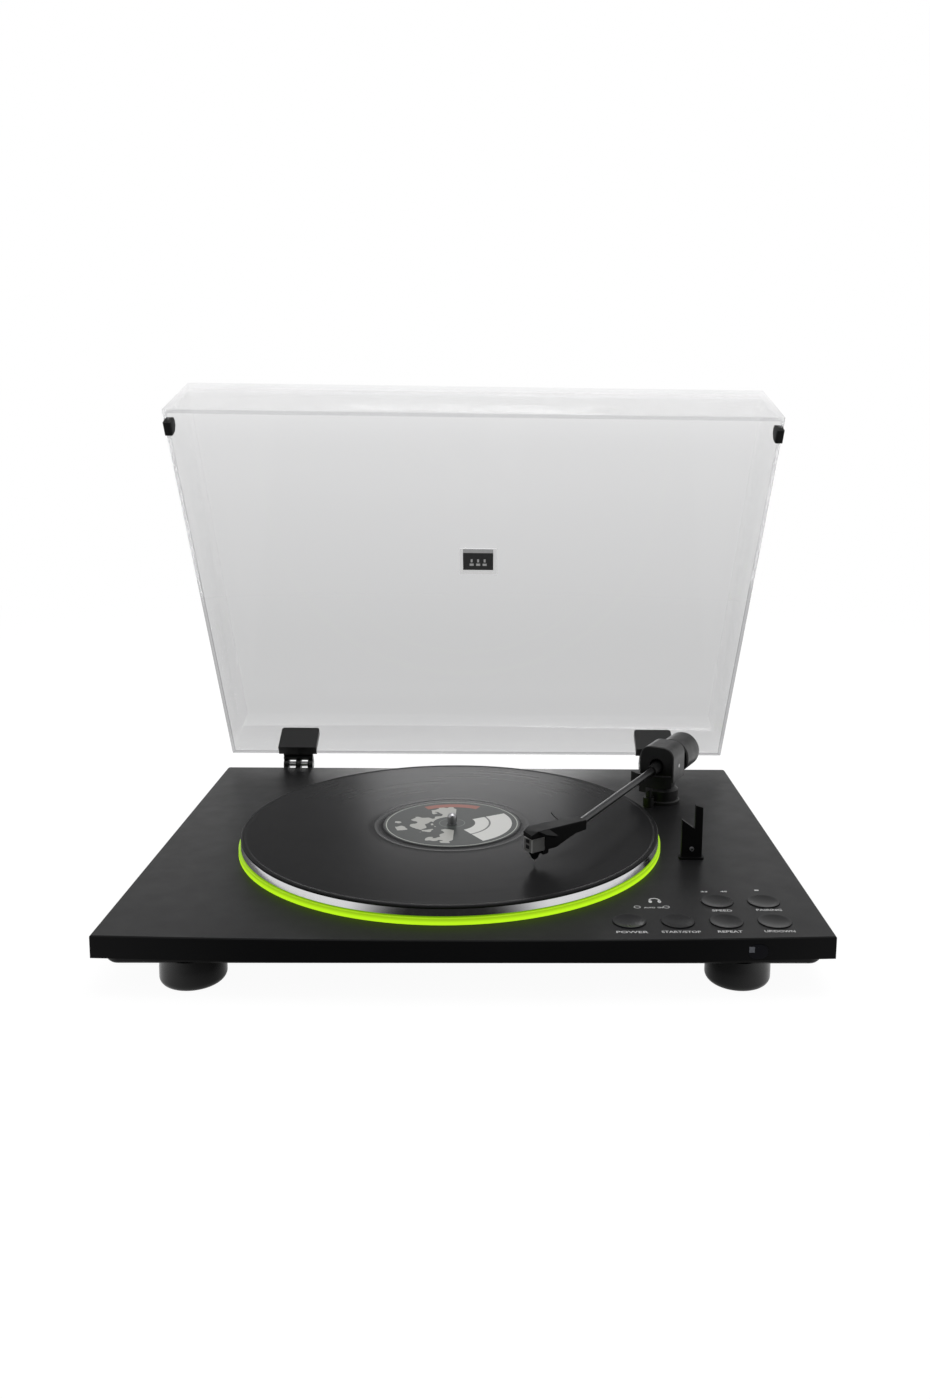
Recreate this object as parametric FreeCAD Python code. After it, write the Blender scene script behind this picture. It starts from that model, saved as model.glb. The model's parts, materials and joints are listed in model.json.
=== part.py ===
import FreeCAD, Part
import math
import os

V = FreeCAD.Vector

# ---------------------------------------------------------------------------
# Turntable record player with an open dust cover.
# Millimetres, +X to the right, +Y to the back, +Z up.  Everything is drawn with
# the plinth's front edge on Y = 0 and the feet on Z = 0, and is moved at the end
# so that the origin is the middle of the footprint at the height of the table.
# ---------------------------------------------------------------------------

# Clearances
running_gap = 0.3          # between pieces that move past each other
pin_gap = 0.05             # radial, between a shaft and its hole

# Plinth housing
plinth_width = 442.0
plinth_depth = 346.0
plinth_height = 14.0
plinth_corner = 2.5
plinth_bow = 5.8           # how far the front swells forward of its corners
plinth_edge = 0.6          # chamfer round the top
wall = 3.0
deck_thickness = 3.0
rib_thickness = 1.6
rib_depth = 6.0

# Bottom plate
base_thickness = 4.9
base_side_inset = 7.0
base_end_inset = 3.0
base_corner = 8.0
base_edge = 1.2
base_screw_radius = 1.6
base_screw_head = 3.0
base_boss_radius = 4.5
vent_slot_length = 26.0
vent_slot_width = 2.4
vent_pitch = 7.0
vent_count = 7

# Feet
foot_height = 19.6
foot_radius = 20.1
foot_flare = 0.5           # top narrower than the body
foot_shoulder = 11.0       # height where the flare ends
foot_round = 4.6           # bottom edge
foot_side_inset = 54.0
foot_end_inset = 23.0
foot_pad_radius = 15.0
foot_pad_thickness = 2.0
foot_pad_recess = 1.3

# Spindle and main bearing
spindle_x = -15.4
spindle_y = 167.5
spindle_radius = 3.6       # in the platter's bore
spindle_tip_radius = 3.4   # above the record, a little under the hole in a record
spindle_rise = 8.0         # above the record
spindle_round = 3.0        # height of the rounded tip
bearing_radius = 8.0
bearing_flange_radius = 12.0
bearing_flange = 1.0
bearing_depth = 10.4       # below the deck
bearing_floor = 1.2

# Platter, mat, record
platter_radius = 151.0
platter_lift = 6.5         # underside above the deck
platter_thickness = 2.9    # without the deeper rim
platter_bevel = 0.5
platter_rim = 13.0         # deeper rim, radial width
platter_skirt = 1.7        # rim's depth below the rest of the underside
platter_seat = 4.0         # thicker middle, past the hub
platter_relief = 0.8
platter_step = 1.0
mat_radius = 147.3
mat_recess = 0.9
mat_thickness = 1.1
record_radius = 150.8
record_thickness = 1.6
record_bead = 4.2          # raised rim, radial width
groove_recess = 0.2
groove_inner_radius = 70.5
label_radius = 50.0
label_thickness = 0.15

# Drive
hub_radius = 55.0
hub_height = 4.7
hub_web = 1.4
hub_boss_radius = 10.0
motor_offset = 92.0        # spindle to motor shaft
motor_bearing_angle = 140.0
motor_radius = 14.0
motor_shaft_radius = 1.0
pulley_radius = 4.5
pulley_flange_radius = 6.0
pulley_flange = 0.6
belt_width = 2.0
belt_thickness = 0.8

# Glowing ring
ring_reveal = 1.4          # past the platter's edge
ring_width = 10.9
ring_height = 4.2
ring_wall = 1.6
ring_round = 0.8
light_board_inset = 5.4    # its middle line, inside the ring's outer wall
light_board_width = 5.0
light_board_thickness = 0.8
light_chip_size = 3.0
light_chip_height = 1.2
light_chip_count = 36

# Buttons
button_radius = 10.2
button_rise = 0.6
button_dish_radius = 46.0
button_travel = 1.0
button_pitch = 29.9
button_side_inset = 32.3   # last column in from the plinth's right side
button_row_y = 21.3
button_upper_row_y = 51.8
button_flange = 1.3        # radial
button_flange_thickness = 1.2
button_stem_radius = 2.0
button_stem_length = 1.4
switch_size = 6.0
switch_height = 2.2
board_thickness = 1.6
board_margin = 2.0         # round the outermost buttons
board_post_radius = 2.4
board_post_inset = 3.0

# Front window
window_inset = 47.5        # in from the plinth's right side
window_drop = 8.5          # below the deck
window_width = 12.0
window_height = 9.0
window_proud = 0.3

# Tonearm
pivot_spacing = 167.4      # to the right of the spindle
pivot_y = 257.0
arm_height = 31.5          # arm axis above the deck
arm_turn = 28.0            # from straight forward towards the platter
arm_reach = 165.0          # pivot to the bend at the headshell
arm_lift_range = 6.0
arm_inward_range = 10.5
parked_turn = 0.8          # outwards of straight forward
tube_radius = 2.6
tube_wall = 0.8
tube_bend_radius = 16.0
tube_end_length = 7.0
collar_radius = 5.2
collar_tip_radius = 4.0
collar_length = 19.0
block_width = 12.0
block_length = 14.0
block_height = 11.0
gimbal_pin_radius = 1.5
gimbal_pin_depth = 3.0
housing_width = 28.6
housing_front = 14.0
housing_rear = 13.0
housing_height = 28.0
housing_wall = 2.4
housing_round = 9.0
pedestal_radius = 13.2
pedestal_foot_radius = 14.6
pedestal_foot = 2.2
pedestal_shoulder = 11.0
pedestal_neck_radius = 10.4
pedestal_height = 20.2
pedestal_tube_radius = 8.0
pedestal_tube_depth = 9.0  # below the deck
pivot_shaft_radius = 4.0
pivot_shaft_depth = 6.0
stub_radius = 4.0
weight_radius = 14.7
weight_front = 21.0
weight_length = 30.0
weight_edge = 1.2
dial_radius = 11.6
dial_length = 3.5

# Headshell and cartridge
headshell_turn = 27.0
headshell_length = 45.0
headshell_near = 5.0       # middle line to the side that faces the buttons
headshell_far = 7.2        # middle line to the side that faces the spindle
headshell_neck_far = 4.4
headshell_start = -1.5     # its rear end, before the bend
headshell_shoulder = 5.5   # from the bend to where the far side is full width
headshell_corner_width = 1.8
headshell_corner_length = 4.0
headshell_corner_front = 1.0
headshell_edge = 0.4
headshell_top = 3.0        # above the arm axis
headshell_neck_low = 3.6   # below the arm axis
headshell_neck_slope = 1.1
headshell_throat = 8.0     # from the bend to where the underside starts to fall
headshell_cheek = 18.0     # from the bend to where the skirts reach full depth
headshell_plate = 2.4
headshell_skirt = 1.0
headshell_skirt_low = 8.3  # below the arm axis
headshell_nose = 11.5      # solid front part
headshell_nose_low = 1.8   # nose's underside, below the arm axis
headshell_nose_drop = 2.0  # slope of the nose's top
headshell_nose_slope = 6.0 # length of that slope
cartridge_back = 15.5
cartridge_clearance = 0.1  # to the skirts
cartridge_low = 11.5       # below the arm axis
cartridge_slope = 8.0
cartridge_nose_length = 4.5
cartridge_nose_width = 5.4
cartridge_nose_low = 15.0  # below the arm axis
cartridge_nose_edge = 1.2
holder_width = 9.2
holder_low = 11.5          # below the arm axis
holder_edge = 0.5
holder_setback = 0.5       # behind the nose's front
stylus_reach = 38.5        # bend to stylus tip
stylus_socket_radius = 1.7
stylus_socket_length = 5.0
stylus_radius = 0.5
stylus_gap = 0.3           # tip above the record's bead
finger_back = 30.5
finger_front = 39.0
finger_tip_back = 29.5
finger_tip_front = 31.5
finger_reach = 8.5         # out from the headshell's side
finger_knee_reach = 5.1
finger_knee = 36.5         # from the bend
finger_inset = 0.2         # below the headshell's top
finger_droop = 2.0
finger_thickness = 1.2

# Arm lifter and rest
lifter_radius = 28.0
lifter_bar = 3.0
lifter_bar_height = 9.7
lifter_first_angle = -6.0
lifter_last_angle = 66.0
lifter_post_radius = 2.5
lifter_post_reach = 19.6
lifter_post_angle = 40.0
lifter_post_depth = 6.0
lifter_arm_thickness = 3.0
lifter_guide_radius = 4.4
lifter_guide_height = 8.0
rest_reach = 129.0
rest_thickness = 3.5
rest_left = 6.3
rest_right = 8.2
rest_prong_height = 39.0
rest_notch_height = 21.7
rest_round = 0.8
rest_foot_width = 17.5
rest_foot_depth = 8.0
rest_foot_height = 1.6
rest_screw_radius = 1.6
rest_screw_height = 6.5

# Dust cover
lid_width = 437.0
lid_depth = 340.0
lid_height = 57.0
lid_wall = 3.0
lid_lift = 3.0             # rim above the deck when closed
lid_setback = 1.5          # rear sheet in front of the plinth's back
lid_open_angle = 60.0
bumper_length = 10.0
bumper_offset = 10.5
bumper_skin = 1.0
bumper_grip = 4.0
badge_width = 29.5
badge_length = 19.3
badge_thickness = 0.8
badge_round = 1.0

# Hinges
hinge_left_inset = 60.6    # in from the plinth's left side
hinge_right_inset = 62.6   # in from the plinth's right side
hinge_offset = 9.4         # axis behind the plinth
hinge_drop = 2.5           # axis below the cover's rim
clip_width = 33.4
clip_grip = 24.0           # up the rear sheet
clip_inner = 5.4
clip_outer = 3.0
clip_lip = 0.8
clip_round = 2.6
knuckle_radius = 4.6
knuckle_width = 4.4
ear_width = 4.4
sleeve_space = 6.2         # between the bracket's ear and each knuckle
hinge_pin_radius = 1.6
bracket_thickness = 2.5
bracket_top = 3.0          # below the deck
bracket_low = 1.0          # above the plinth's lower edge
bracket_web = 1.5
bracket_relief = 1.2       # ear's web below the axis, under the cover's tail
sleeve_wall = 0.8
hinge_screw_radius = 2.3
hinge_screw_head = 1.2
hinge_screw_rise = 4.0     # above the bracket's lower edge

# Sockets at the back
socket_drop = 7.5
socket_radius = 4.15
socket_length = 8.0
socket_inset = 110.0       # last socket in from the plinth's right side
socket_pitch = 15.0
socket_bore = 1.6
power_spacing = 36.0       # from the nearer signal socket
power_width = 9.0
power_height = 7.0
power_bore = 2.75
power_bore_depth = 9.0
main_board_margin = 14.0   # past the sockets at each end
main_board_depth = 36.0

# ---------------------------------------------------------------------------
# Heights and places worked out from the values above
# ---------------------------------------------------------------------------
plinth_bottom = foot_height + base_thickness
deck = plinth_bottom + plinth_height
under_deck = deck - deck_thickness
right_side = plinth_width / 2
bow_half_width = plinth_width / 2 - plinth_corner
bow_radius = (bow_half_width ** 2 + plinth_bow ** 2) / (2 * plinth_bow)
platter_bottom = deck + platter_lift
platter_top = platter_bottom + platter_thickness
mat_bottom = platter_top - mat_recess
record_bottom = mat_bottom + mat_thickness
record_top = record_bottom + record_thickness
ring_outer_radius = platter_radius + ring_reveal
ring_inner_radius = ring_outer_radius - ring_width
light_board_radius = ring_outer_radius - light_board_inset
pivot_x = spindle_x + pivot_spacing
window_x = right_side - window_inset
window_front = bow_radius - plinth_bow - math.sqrt(bow_radius ** 2 - window_x ** 2)
socket_first_x = right_side - socket_inset - socket_pitch
power_x = socket_first_x - power_spacing
arm_z = deck + arm_height
housing_bottom = deck + pedestal_height + running_gap
stylus_tip = record_top + stylus_gap
parked_swing = arm_turn + parked_turn
lid_rear = plinth_depth - lid_setback
lid_front = lid_rear - lid_depth
lid_rim = deck + lid_lift
lid_top = lid_rim + lid_height
hinge_y = plinth_depth + hinge_offset
hinge_z = lid_rim - hinge_drop
hinge_reach = ear_width / 2 + sleeve_space + knuckle_width
button_columns = [right_side - button_side_inset - button_pitch * column
                  for column in (3, 2, 1, 0)]
button_places = {
    "button_power": (button_columns[0], button_row_y),
    "button_start_stop": (button_columns[1], button_row_y),
    "button_repeat": (button_columns[2], button_row_y),
    "button_up_down": (button_columns[3], button_row_y),
    "button_speed": (button_columns[2], button_upper_row_y),
    "button_pairing": (button_columns[3], button_upper_row_y),
}
button_bottom = under_deck - running_gap - button_flange_thickness - button_stem_length
switch_top = button_bottom - button_travel - running_gap
board_top = switch_top - switch_height
motor_x = spindle_x + motor_offset * math.cos(math.radians(motor_bearing_angle))
motor_y = spindle_y + motor_offset * math.sin(math.radians(motor_bearing_angle))
open_turn = math.radians(lid_open_angle)
rear_reach = (hinge_y + (lid_rear - hinge_y) * math.cos(open_turn)
              + (lid_top - hinge_z) * math.sin(open_turn))
origin = V(0, rear_reach / 2, 0)


# ---------------------------------------------------------------------------
# Helpers
# ---------------------------------------------------------------------------
def box(x0, x1, y0, y1, z0, z1):
    """A box between two corners."""
    return Part.makeBox(x1 - x0, y1 - y0, z1 - z0, V(x0, y0, z0))


def disc(radius, z0, z1, x=0.0, y=0.0):
    """An upright cylinder from z0 to z1."""
    return Part.makeCylinder(radius, z1 - z0, V(x, y, z0))


def ring(outer, inner, z0, z1, x=0.0, y=0.0):
    """An upright tube from z0 to z1."""
    return disc(outer, z0, z1, x, y).cut(disc(inner, z0, z1, x, y))


def rod(radius, start, end):
    """A round bar between two points."""
    along = end.sub(start)
    return Part.makeCylinder(radius, along.Length, start, along)


def turned(profile, x=0.0, y=0.0):
    """A solid of revolution about the upright axis, from (radius, height) points."""
    points = [V(radius, 0, height) for radius, height in profile]
    face = Part.Face(Part.makePolygon(points + points[:1]))
    solid = face.revolve(V(0, 0, 0), V(0, 0, 1), 360)
    solid.translate(V(x, y, 0))
    return solid


def plate(points, z0, z1):
    """A flat outline of (x, y) points made solid from z0 to z1."""
    corners = [V(x, y, z0) for x, y in points]
    face = Part.Face(Part.makePolygon(corners + corners[:1]))
    return face.extrude(V(0, 0, z1 - z0))


def upright_edges(shape, length):
    """Edges of a prism that run straight up for the given length."""
    found = []
    for edge in shape.Edges:
        start = edge.Vertexes[0].Point
        end = edge.Vertexes[-1].Point
        level = math.hypot(start.x - end.x, start.y - end.y)
        if level < 1e-6 and abs(abs(start.z - end.z) - length) < 1e-6:
            found.append(edge)
    return found


def edges_at_height(shape, z):
    """Edges that lie wholly in the level plane z."""
    return [edge for edge in shape.Edges
            if all(abs(vertex.Z - z) < 1e-6 for vertex in edge.Vertexes)
            and abs(edge.BoundBox.ZMax - z) < 1e-6 and abs(edge.BoundBox.ZMin - z) < 1e-6]


def rounded_block(x0, x1, y0, y1, z0, z1, radius):
    """A box with its four upright corners rounded."""
    block = box(x0, x1, y0, y1, z0, z1)
    return block.makeFillet(radius, upright_edges(block, z1 - z0))


def slot_hole(x, y, length, width, z0, z1):
    """A slot cutter that runs along Y."""
    half = (length - width) / 2
    cutter = disc(width / 2, z0, z1, x, y - half)
    cutter = cutter.fuse(disc(width / 2, z0, z1, x, y + half))
    return cutter.fuse(box(x - width / 2, x + width / 2, y - half, y + half, z0, z1))


def fused(shapes):
    """Several overlapping or touching solids joined into one."""
    whole = shapes[0].multiFuse(shapes[1:])
    return whole.removeSplitter()


def group(shapes):
    """Separate solids kept side by side in one node."""
    return Part.makeCompound(shapes)


def into_arm(shape):
    """Moves a shape from the arm's own frame (pivot at 0, pointing to -Y) to its place."""
    shape = shape.copy()
    shape.rotate(V(0, 0, 0), V(0, 0, 1), -arm_turn)
    shape.translate(V(pivot_x, pivot_y, 0))
    return shape


def into_headshell(shape):
    """Moves a shape from the headshell's frame (bend at 0, pointing to -Y) to its place."""
    shape = shape.copy()
    shape.rotate(V(0, 0, 0), V(0, 0, 1), -headshell_turn)
    shape.translate(V(0, -arm_reach, 0))
    return into_arm(shape)


def into_rest(shape):
    """Moves a shape from the parked arm's frame to its place."""
    shape = shape.copy()
    shape.rotate(V(0, 0, 0), V(0, 0, 1), parked_turn)
    shape.translate(V(pivot_x, pivot_y, 0))
    return shape


def opened(shape):
    """Turns a piece of the closed dust cover up about the hinge pins."""
    shape = shape.copy()
    shape.rotate(V(0, hinge_y, hinge_z), V(1, 0, 0), -lid_open_angle)
    return shape


# ---------------------------------------------------------------------------
# Plinth
# ---------------------------------------------------------------------------
foot_places = [
    ("front_left", -plinth_width / 2 + foot_side_inset, foot_end_inset),
    ("front_right", plinth_width / 2 - foot_side_inset, foot_end_inset),
    ("rear_left", -plinth_width / 2 + foot_side_inset, plinth_depth - foot_end_inset),
    ("rear_right", plinth_width / 2 - foot_side_inset, plinth_depth - foot_end_inset),
]


def base_screw_places():
    """Screws in from the edge of the bottom plate: three along each end, two per side."""
    inset = base_side_inset + base_boss_radius + wall
    side = plinth_width / 2 - inset
    front = base_end_inset + base_boss_radius + wall
    rear = plinth_depth - front
    third = plinth_depth / 3
    ends = [(x, y) for y in (front, rear) for x in (-side, 0, side)]
    sides = [(x, y) for y in (third, 2 * third) for x in (-side, side)]
    return ends + sides


def belt_centres():
    """Plan places of the platter hub and the motor pulley."""
    return V(spindle_x, spindle_y, 0), V(motor_x, motor_y, 0)


def polar(radius, angle):
    """A plan point round the tonearm pivot, the angle from straight forward, + to the left."""
    turn = math.radians(angle)
    return pivot_x - radius * math.sin(turn), pivot_y - radius * math.cos(turn)


def plinth_ribs():
    """Stiffening ribs under the deck, clear of the motor, bearing and boards."""
    half = plinth_width / 2 - wall
    low = under_deck - rib_depth
    front_rib = plinth_depth * 0.3
    rear_rib = plinth_depth * 0.86
    left_rib = -plinth_width * 0.38
    ribs = [box(-half, half, front_rib, front_rib + rib_thickness, low, under_deck)]
    ribs.append(box(-half, half, rear_rib, rear_rib + rib_thickness, low, under_deck))
    ribs.append(box(left_rib, left_rib + rib_thickness, wall, plinth_depth - wall, low, under_deck))
    return ribs


def board_posts():
    """Posts under the deck that the button board is screwed to, between the buttons."""
    reach = button_radius + board_margin - board_post_inset
    columns = [(button_columns[0] + button_columns[1]) / 2,
               (button_columns[2] + button_columns[3]) / 2]
    rows = [button_row_y - reach, button_upper_row_y + reach]
    return [disc(board_post_radius, board_top, under_deck, x, y) for x in columns for y in rows]


def plinth_shell():
    """The housing: a bow-fronted deck with four walls, open below, ribbed and bossed inside."""
    half = plinth_width / 2
    body = rounded_block(-half, half, 0, plinth_depth, plinth_bottom, deck, plinth_corner)
    swell = disc(bow_radius, plinth_bottom, deck, 0, bow_radius - plinth_bow)
    swell = swell.common(box(-half, half, -plinth_bow - 1, wall, plinth_bottom, deck))
    body = body.fuse(swell).removeSplitter()
    body = body.makeChamfer(plinth_edge, edges_at_height(body, deck))
    body = body.cut(box(-half + wall, half - wall, wall, plinth_depth - wall,
                        plinth_bottom, under_deck))
    bosses = [disc(base_boss_radius, plinth_bottom, under_deck, x, y)
              for x, y in base_screw_places()]
    body = fused([body] + bosses + plinth_ribs() + board_posts())
    cutters = [disc(base_screw_radius + pin_gap, plinth_bottom, under_deck, x, y)
               for x, y in base_screw_places()]
    cutters.append(disc(bearing_radius + pin_gap, plinth_bottom, deck, spindle_x, spindle_y))
    cutters.append(disc(motor_shaft_radius + 1.0, plinth_bottom, deck, motor_x, motor_y))
    cutters.append(disc(pedestal_tube_radius + pin_gap, plinth_bottom, deck, pivot_x, pivot_y))
    guide_x, guide_y = polar(lifter_post_reach, lifter_post_angle)
    cutters.append(disc(lifter_post_radius + 1.0, plinth_bottom, deck, guide_x, guide_y))
    for x, y in button_places.values():
        cutters.append(disc(button_radius + running_gap, under_deck, deck, x, y))
    cutters.append(window_outline(running_gap / 3, window_front - 1.0, wall + 1.0))
    for x in socket_places():
        cutters.append(rod(socket_radius + pin_gap, socket_point(x, -wall - 1), socket_point(x, 1)))
    cutters.append(box(power_x - power_width / 2, power_x + power_width / 2,
                       plinth_depth - wall, plinth_depth,
                       deck - socket_drop - power_height / 2,
                       deck - socket_drop + power_height / 2))
    return body.cut(cutters)


def base_plate():
    half = plinth_width / 2 - base_side_inset
    body = rounded_block(-half, half, base_end_inset, plinth_depth - base_end_inset,
                         foot_height, plinth_bottom, base_corner)
    body = body.makeChamfer(base_edge, edges_at_height(body, foot_height))
    cutters = []
    for x, y in base_screw_places():
        cutters.append(disc(base_screw_radius + pin_gap, foot_height, plinth_bottom, x, y))
        cutters.append(disc(base_screw_head + pin_gap, foot_height,
                            foot_height + base_thickness / 2, x, y))
    first = motor_x - vent_pitch * (vent_count - 1) / 2
    for index in range(vent_count):
        cutters.append(slot_hole(first + vent_pitch * index, motor_y, vent_slot_length,
                                 vent_slot_width, foot_height, plinth_bottom))
    return body.cut(cutters)


def base_screws():
    """Countersunk-flush pan screws through the bottom plate into the housing's bosses."""
    screws = []
    for x, y in base_screw_places():
        head = disc(base_screw_head, foot_height + base_thickness / 4,
                    foot_height + base_thickness / 2, x, y)
        shank = disc(base_screw_radius, foot_height + base_thickness / 2,
                     under_deck - base_boss_radius / 2, x, y)
        screws.append(head.fuse(shank))
    return group(screws)


def foot_body(x, y):
    """A turned foot that flares a little from its top and has a well-rounded bottom edge."""
    low = foot_pad_thickness - foot_pad_recess
    profile = [
        (0, foot_height), (foot_radius - foot_flare, foot_height), (foot_radius, foot_shoulder),
        (foot_radius, low), (foot_pad_radius, low), (foot_pad_radius, foot_pad_thickness),
        (0, foot_pad_thickness),
    ]
    body = turned(profile)
    rim = [edge for edge in edges_at_height(body, low)
           if edge.BoundBox.XMax > foot_pad_radius + 1]
    body = body.makeFillet(foot_round, rim)
    body.translate(V(x, y, 0))
    return body


def foot_pads():
    return group([disc(foot_pad_radius, 0, foot_pad_thickness, x, y) for _, x, y in foot_places])


# ---------------------------------------------------------------------------
# Platter and drive
# ---------------------------------------------------------------------------
def bearing_housing():
    low = deck - bearing_depth
    profile = [
        (0, low), (bearing_radius, low), (bearing_radius, deck), (bearing_flange_radius, deck),
        (bearing_flange_radius, deck + bearing_flange),
        (spindle_radius + pin_gap, deck + bearing_flange),
        (spindle_radius + pin_gap, low + bearing_floor), (0, low + bearing_floor),
    ]
    return turned(profile, spindle_x, spindle_y)


def spindle():
    """The turned spindle: full size in the bearing and platter, slimmer above the record."""
    low = deck - bearing_depth + bearing_floor + running_gap
    step = record_top + label_thickness
    top = record_top + spindle_rise
    profile = [
        (0, low), (spindle_radius, low), (spindle_radius, step), (spindle_tip_radius, step),
        (spindle_tip_radius, top - spindle_round),
        (spindle_tip_radius * 0.87, top - spindle_round * 0.5),
        (spindle_tip_radius * 0.5, top - spindle_round * 0.14),
        (spindle_tip_radius * 0.2, top), (0, top),
    ]
    return turned(profile, spindle_x, spindle_y)


def drive_hub():
    """A moulded inner platter: a web, a boss on the spindle and a skirt for the belt."""
    low = platter_bottom - hub_height
    web = platter_bottom - hub_web
    bore = spindle_radius + pin_gap
    skirt = hub_radius - 3.0
    profile = [
        (bore, low), (hub_boss_radius, low), (hub_boss_radius, web), (skirt, web), (skirt, low),
        (hub_radius, low), (hub_radius, platter_bottom), (bore, platter_bottom),
    ]
    return turned(profile, spindle_x, spindle_y)


def platter():
    bore = spindle_radius + pin_gap
    relief = platter_bottom + platter_relief
    seat = hub_radius + platter_seat
    rim = platter_radius - platter_rim
    rim_bottom = platter_bottom - platter_skirt
    profile = [
        (bore, platter_bottom), (seat, platter_bottom), (seat + platter_step, relief),
        (rim - platter_step, relief), (rim, rim_bottom),
        (platter_radius - platter_bevel, rim_bottom),
        (platter_radius, rim_bottom + platter_bevel),
        (platter_radius, platter_top - platter_bevel),
        (platter_radius - platter_bevel, platter_top),
        (mat_radius + running_gap, platter_top), (mat_radius + running_gap, mat_bottom),
        (bore, mat_bottom),
    ]
    return turned(profile, spindle_x, spindle_y)


def platter_mat():
    return ring(mat_radius, spindle_radius + pin_gap, mat_bottom, record_bottom,
                spindle_x, spindle_y)


def vinyl_record():
    """Raised bead at the rim, grooved band, run-out land and raised label area."""
    bore = spindle_radius + pin_gap
    bead = record_radius - record_bead
    groove = record_top - groove_recess
    land = label_radius + 1.5
    profile = [
        (bore, record_bottom), (record_radius - 0.8, record_bottom),
        (record_radius, record_bottom + 0.6), (record_radius, record_top - 0.4),
        (record_radius - 0.8, record_top), (bead + 1.2, record_top), (bead, groove),
        (land, groove), (label_radius, record_top), (bore, record_top),
    ]
    return turned(profile, spindle_x, spindle_y)


def record_label():
    return ring(label_radius - 0.5, spindle_radius + pin_gap, record_top,
                record_top + label_thickness, spindle_x, spindle_y)


def drive_motor():
    """A can motor that hangs under the deck, with two screw ears and a bearing nose."""
    low = plinth_bottom + running_gap
    can = disc(motor_radius, low, under_deck, motor_x, motor_y)
    ear = box(motor_x - motor_radius - 5, motor_x + motor_radius + 5, motor_y - 4, motor_y + 4,
              under_deck - 1.2, under_deck)
    bore = disc(motor_shaft_radius + pin_gap, low + 1.5, deck + 2, motor_x, motor_y)
    return can.fuse(ear).removeSplitter().cut(bore)


def motor_pulley():
    """Two-flanged pulley on its steel shaft, which runs down into the motor."""
    low = platter_bottom - hub_height
    top = platter_bottom - running_gap
    profile = [
        (0, plinth_bottom + 2.2), (motor_shaft_radius, plinth_bottom + 2.2),
        (motor_shaft_radius, low), (pulley_flange_radius, low),
        (pulley_flange_radius, low + pulley_flange), (pulley_radius, low + pulley_flange * 1.4),
        (pulley_radius, top - pulley_flange * 1.4), (pulley_flange_radius, top - pulley_flange),
        (pulley_flange_radius, top), (0, top),
    ]
    return turned(profile, motor_x, motor_y)


def belt_loop(hub_offset, z0, z1):
    """The plan shape inside an open belt that runs hub_offset outside hub and pulley."""
    hub, pulley = belt_centres()
    big = hub_radius + hub_offset
    small = pulley_radius + hub_offset
    along = pulley.sub(hub)
    heading = math.atan2(along.y, along.x)
    lean = math.acos((big - small) / along.Length)
    corners = []
    for centre, radius, side in ((hub, big, 1), (pulley, small, 1),
                                 (pulley, small, -1), (hub, big, -1)):
        angle = heading + side * lean
        corners.append((centre.x + radius * math.cos(angle), centre.y + radius * math.sin(angle)))
    middle = plate(corners, z0, z1)
    return fused([middle, disc(big, z0, z1, hub.x, hub.y), disc(small, z0, z1, pulley.x, pulley.y)])


def drive_belt():
    middle = platter_bottom - (hub_height + running_gap) / 2
    low = middle - belt_width / 2
    high = middle + belt_width / 2
    outer = belt_loop(running_gap + belt_thickness, low, high)
    return outer.cut(belt_loop(running_gap, low, high))


# ---------------------------------------------------------------------------
# Glowing ring
# ---------------------------------------------------------------------------
def light_ring():
    """A translucent channel, open below, that stands on the deck round the platter."""
    top = deck + ring_height
    profile = [
        (ring_inner_radius, deck), (ring_inner_radius, top),
        (ring_outer_radius - ring_round, top),
        (ring_outer_radius - ring_round * 0.3, top - ring_round * 0.3),
        (ring_outer_radius, top - ring_round), (ring_outer_radius, deck),
        (ring_outer_radius - ring_wall, deck), (ring_outer_radius - ring_wall, top - ring_wall),
        (ring_inner_radius + ring_wall, top - ring_wall), (ring_inner_radius + ring_wall, deck),
    ]
    return turned(profile, spindle_x, spindle_y)


def light_board():
    """The ring-shaped circuit board under the channel, with its lamps soldered on."""
    width = light_board_width / 2
    board = ring(light_board_radius + width, light_board_radius - width, deck,
                 deck + light_board_thickness, spindle_x, spindle_y)
    chips = []
    half = light_chip_size / 2
    low = deck + light_board_thickness
    for index in range(light_chip_count):
        chip = box(light_board_radius - half, light_board_radius + half, -half, half,
                   low, low + light_chip_height)
        chip.rotate(V(0, 0, 0), V(0, 0, 1), 360.0 * index / light_chip_count)
        chip.translate(V(spindle_x, spindle_y, 0))
        chips.append(chip)
    return fused([board] + chips)


# ---------------------------------------------------------------------------
# Buttons, window, boards and sockets
# ---------------------------------------------------------------------------
def button(x, y):
    """A cap with a dished top, a retaining flange under the deck and a short stem."""
    flange_top = under_deck - running_gap
    flange_low = flange_top - button_flange_thickness
    cap = disc(button_radius, flange_low, deck + button_rise, x, y)
    cap = cap.fuse(disc(button_radius + button_flange, flange_low, flange_top, x, y))
    cap = cap.fuse(disc(button_stem_radius, button_bottom, flange_low, x, y)).removeSplitter()
    rim = button_radius - 0.8
    sag = button_dish_radius - math.sqrt(button_dish_radius ** 2 - rim ** 2)
    ball = Part.makeSphere(button_dish_radius,
                           V(x, y, deck + button_rise + button_dish_radius - sag))
    return cap.cut(ball)


def button_board():
    """The circuit board under the buttons, with one switch below each of them."""
    margin = button_radius + board_margin
    board = box(button_columns[0] - margin, button_columns[-1] + margin,
                button_row_y - margin, button_upper_row_y + margin,
                board_top - board_thickness, board_top)
    half = switch_size / 2
    switches = [box(x - half, x + half, y - half, y + half, board_top, switch_top)
                for x, y in button_places.values()]
    return fused([board] + switches)


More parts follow.
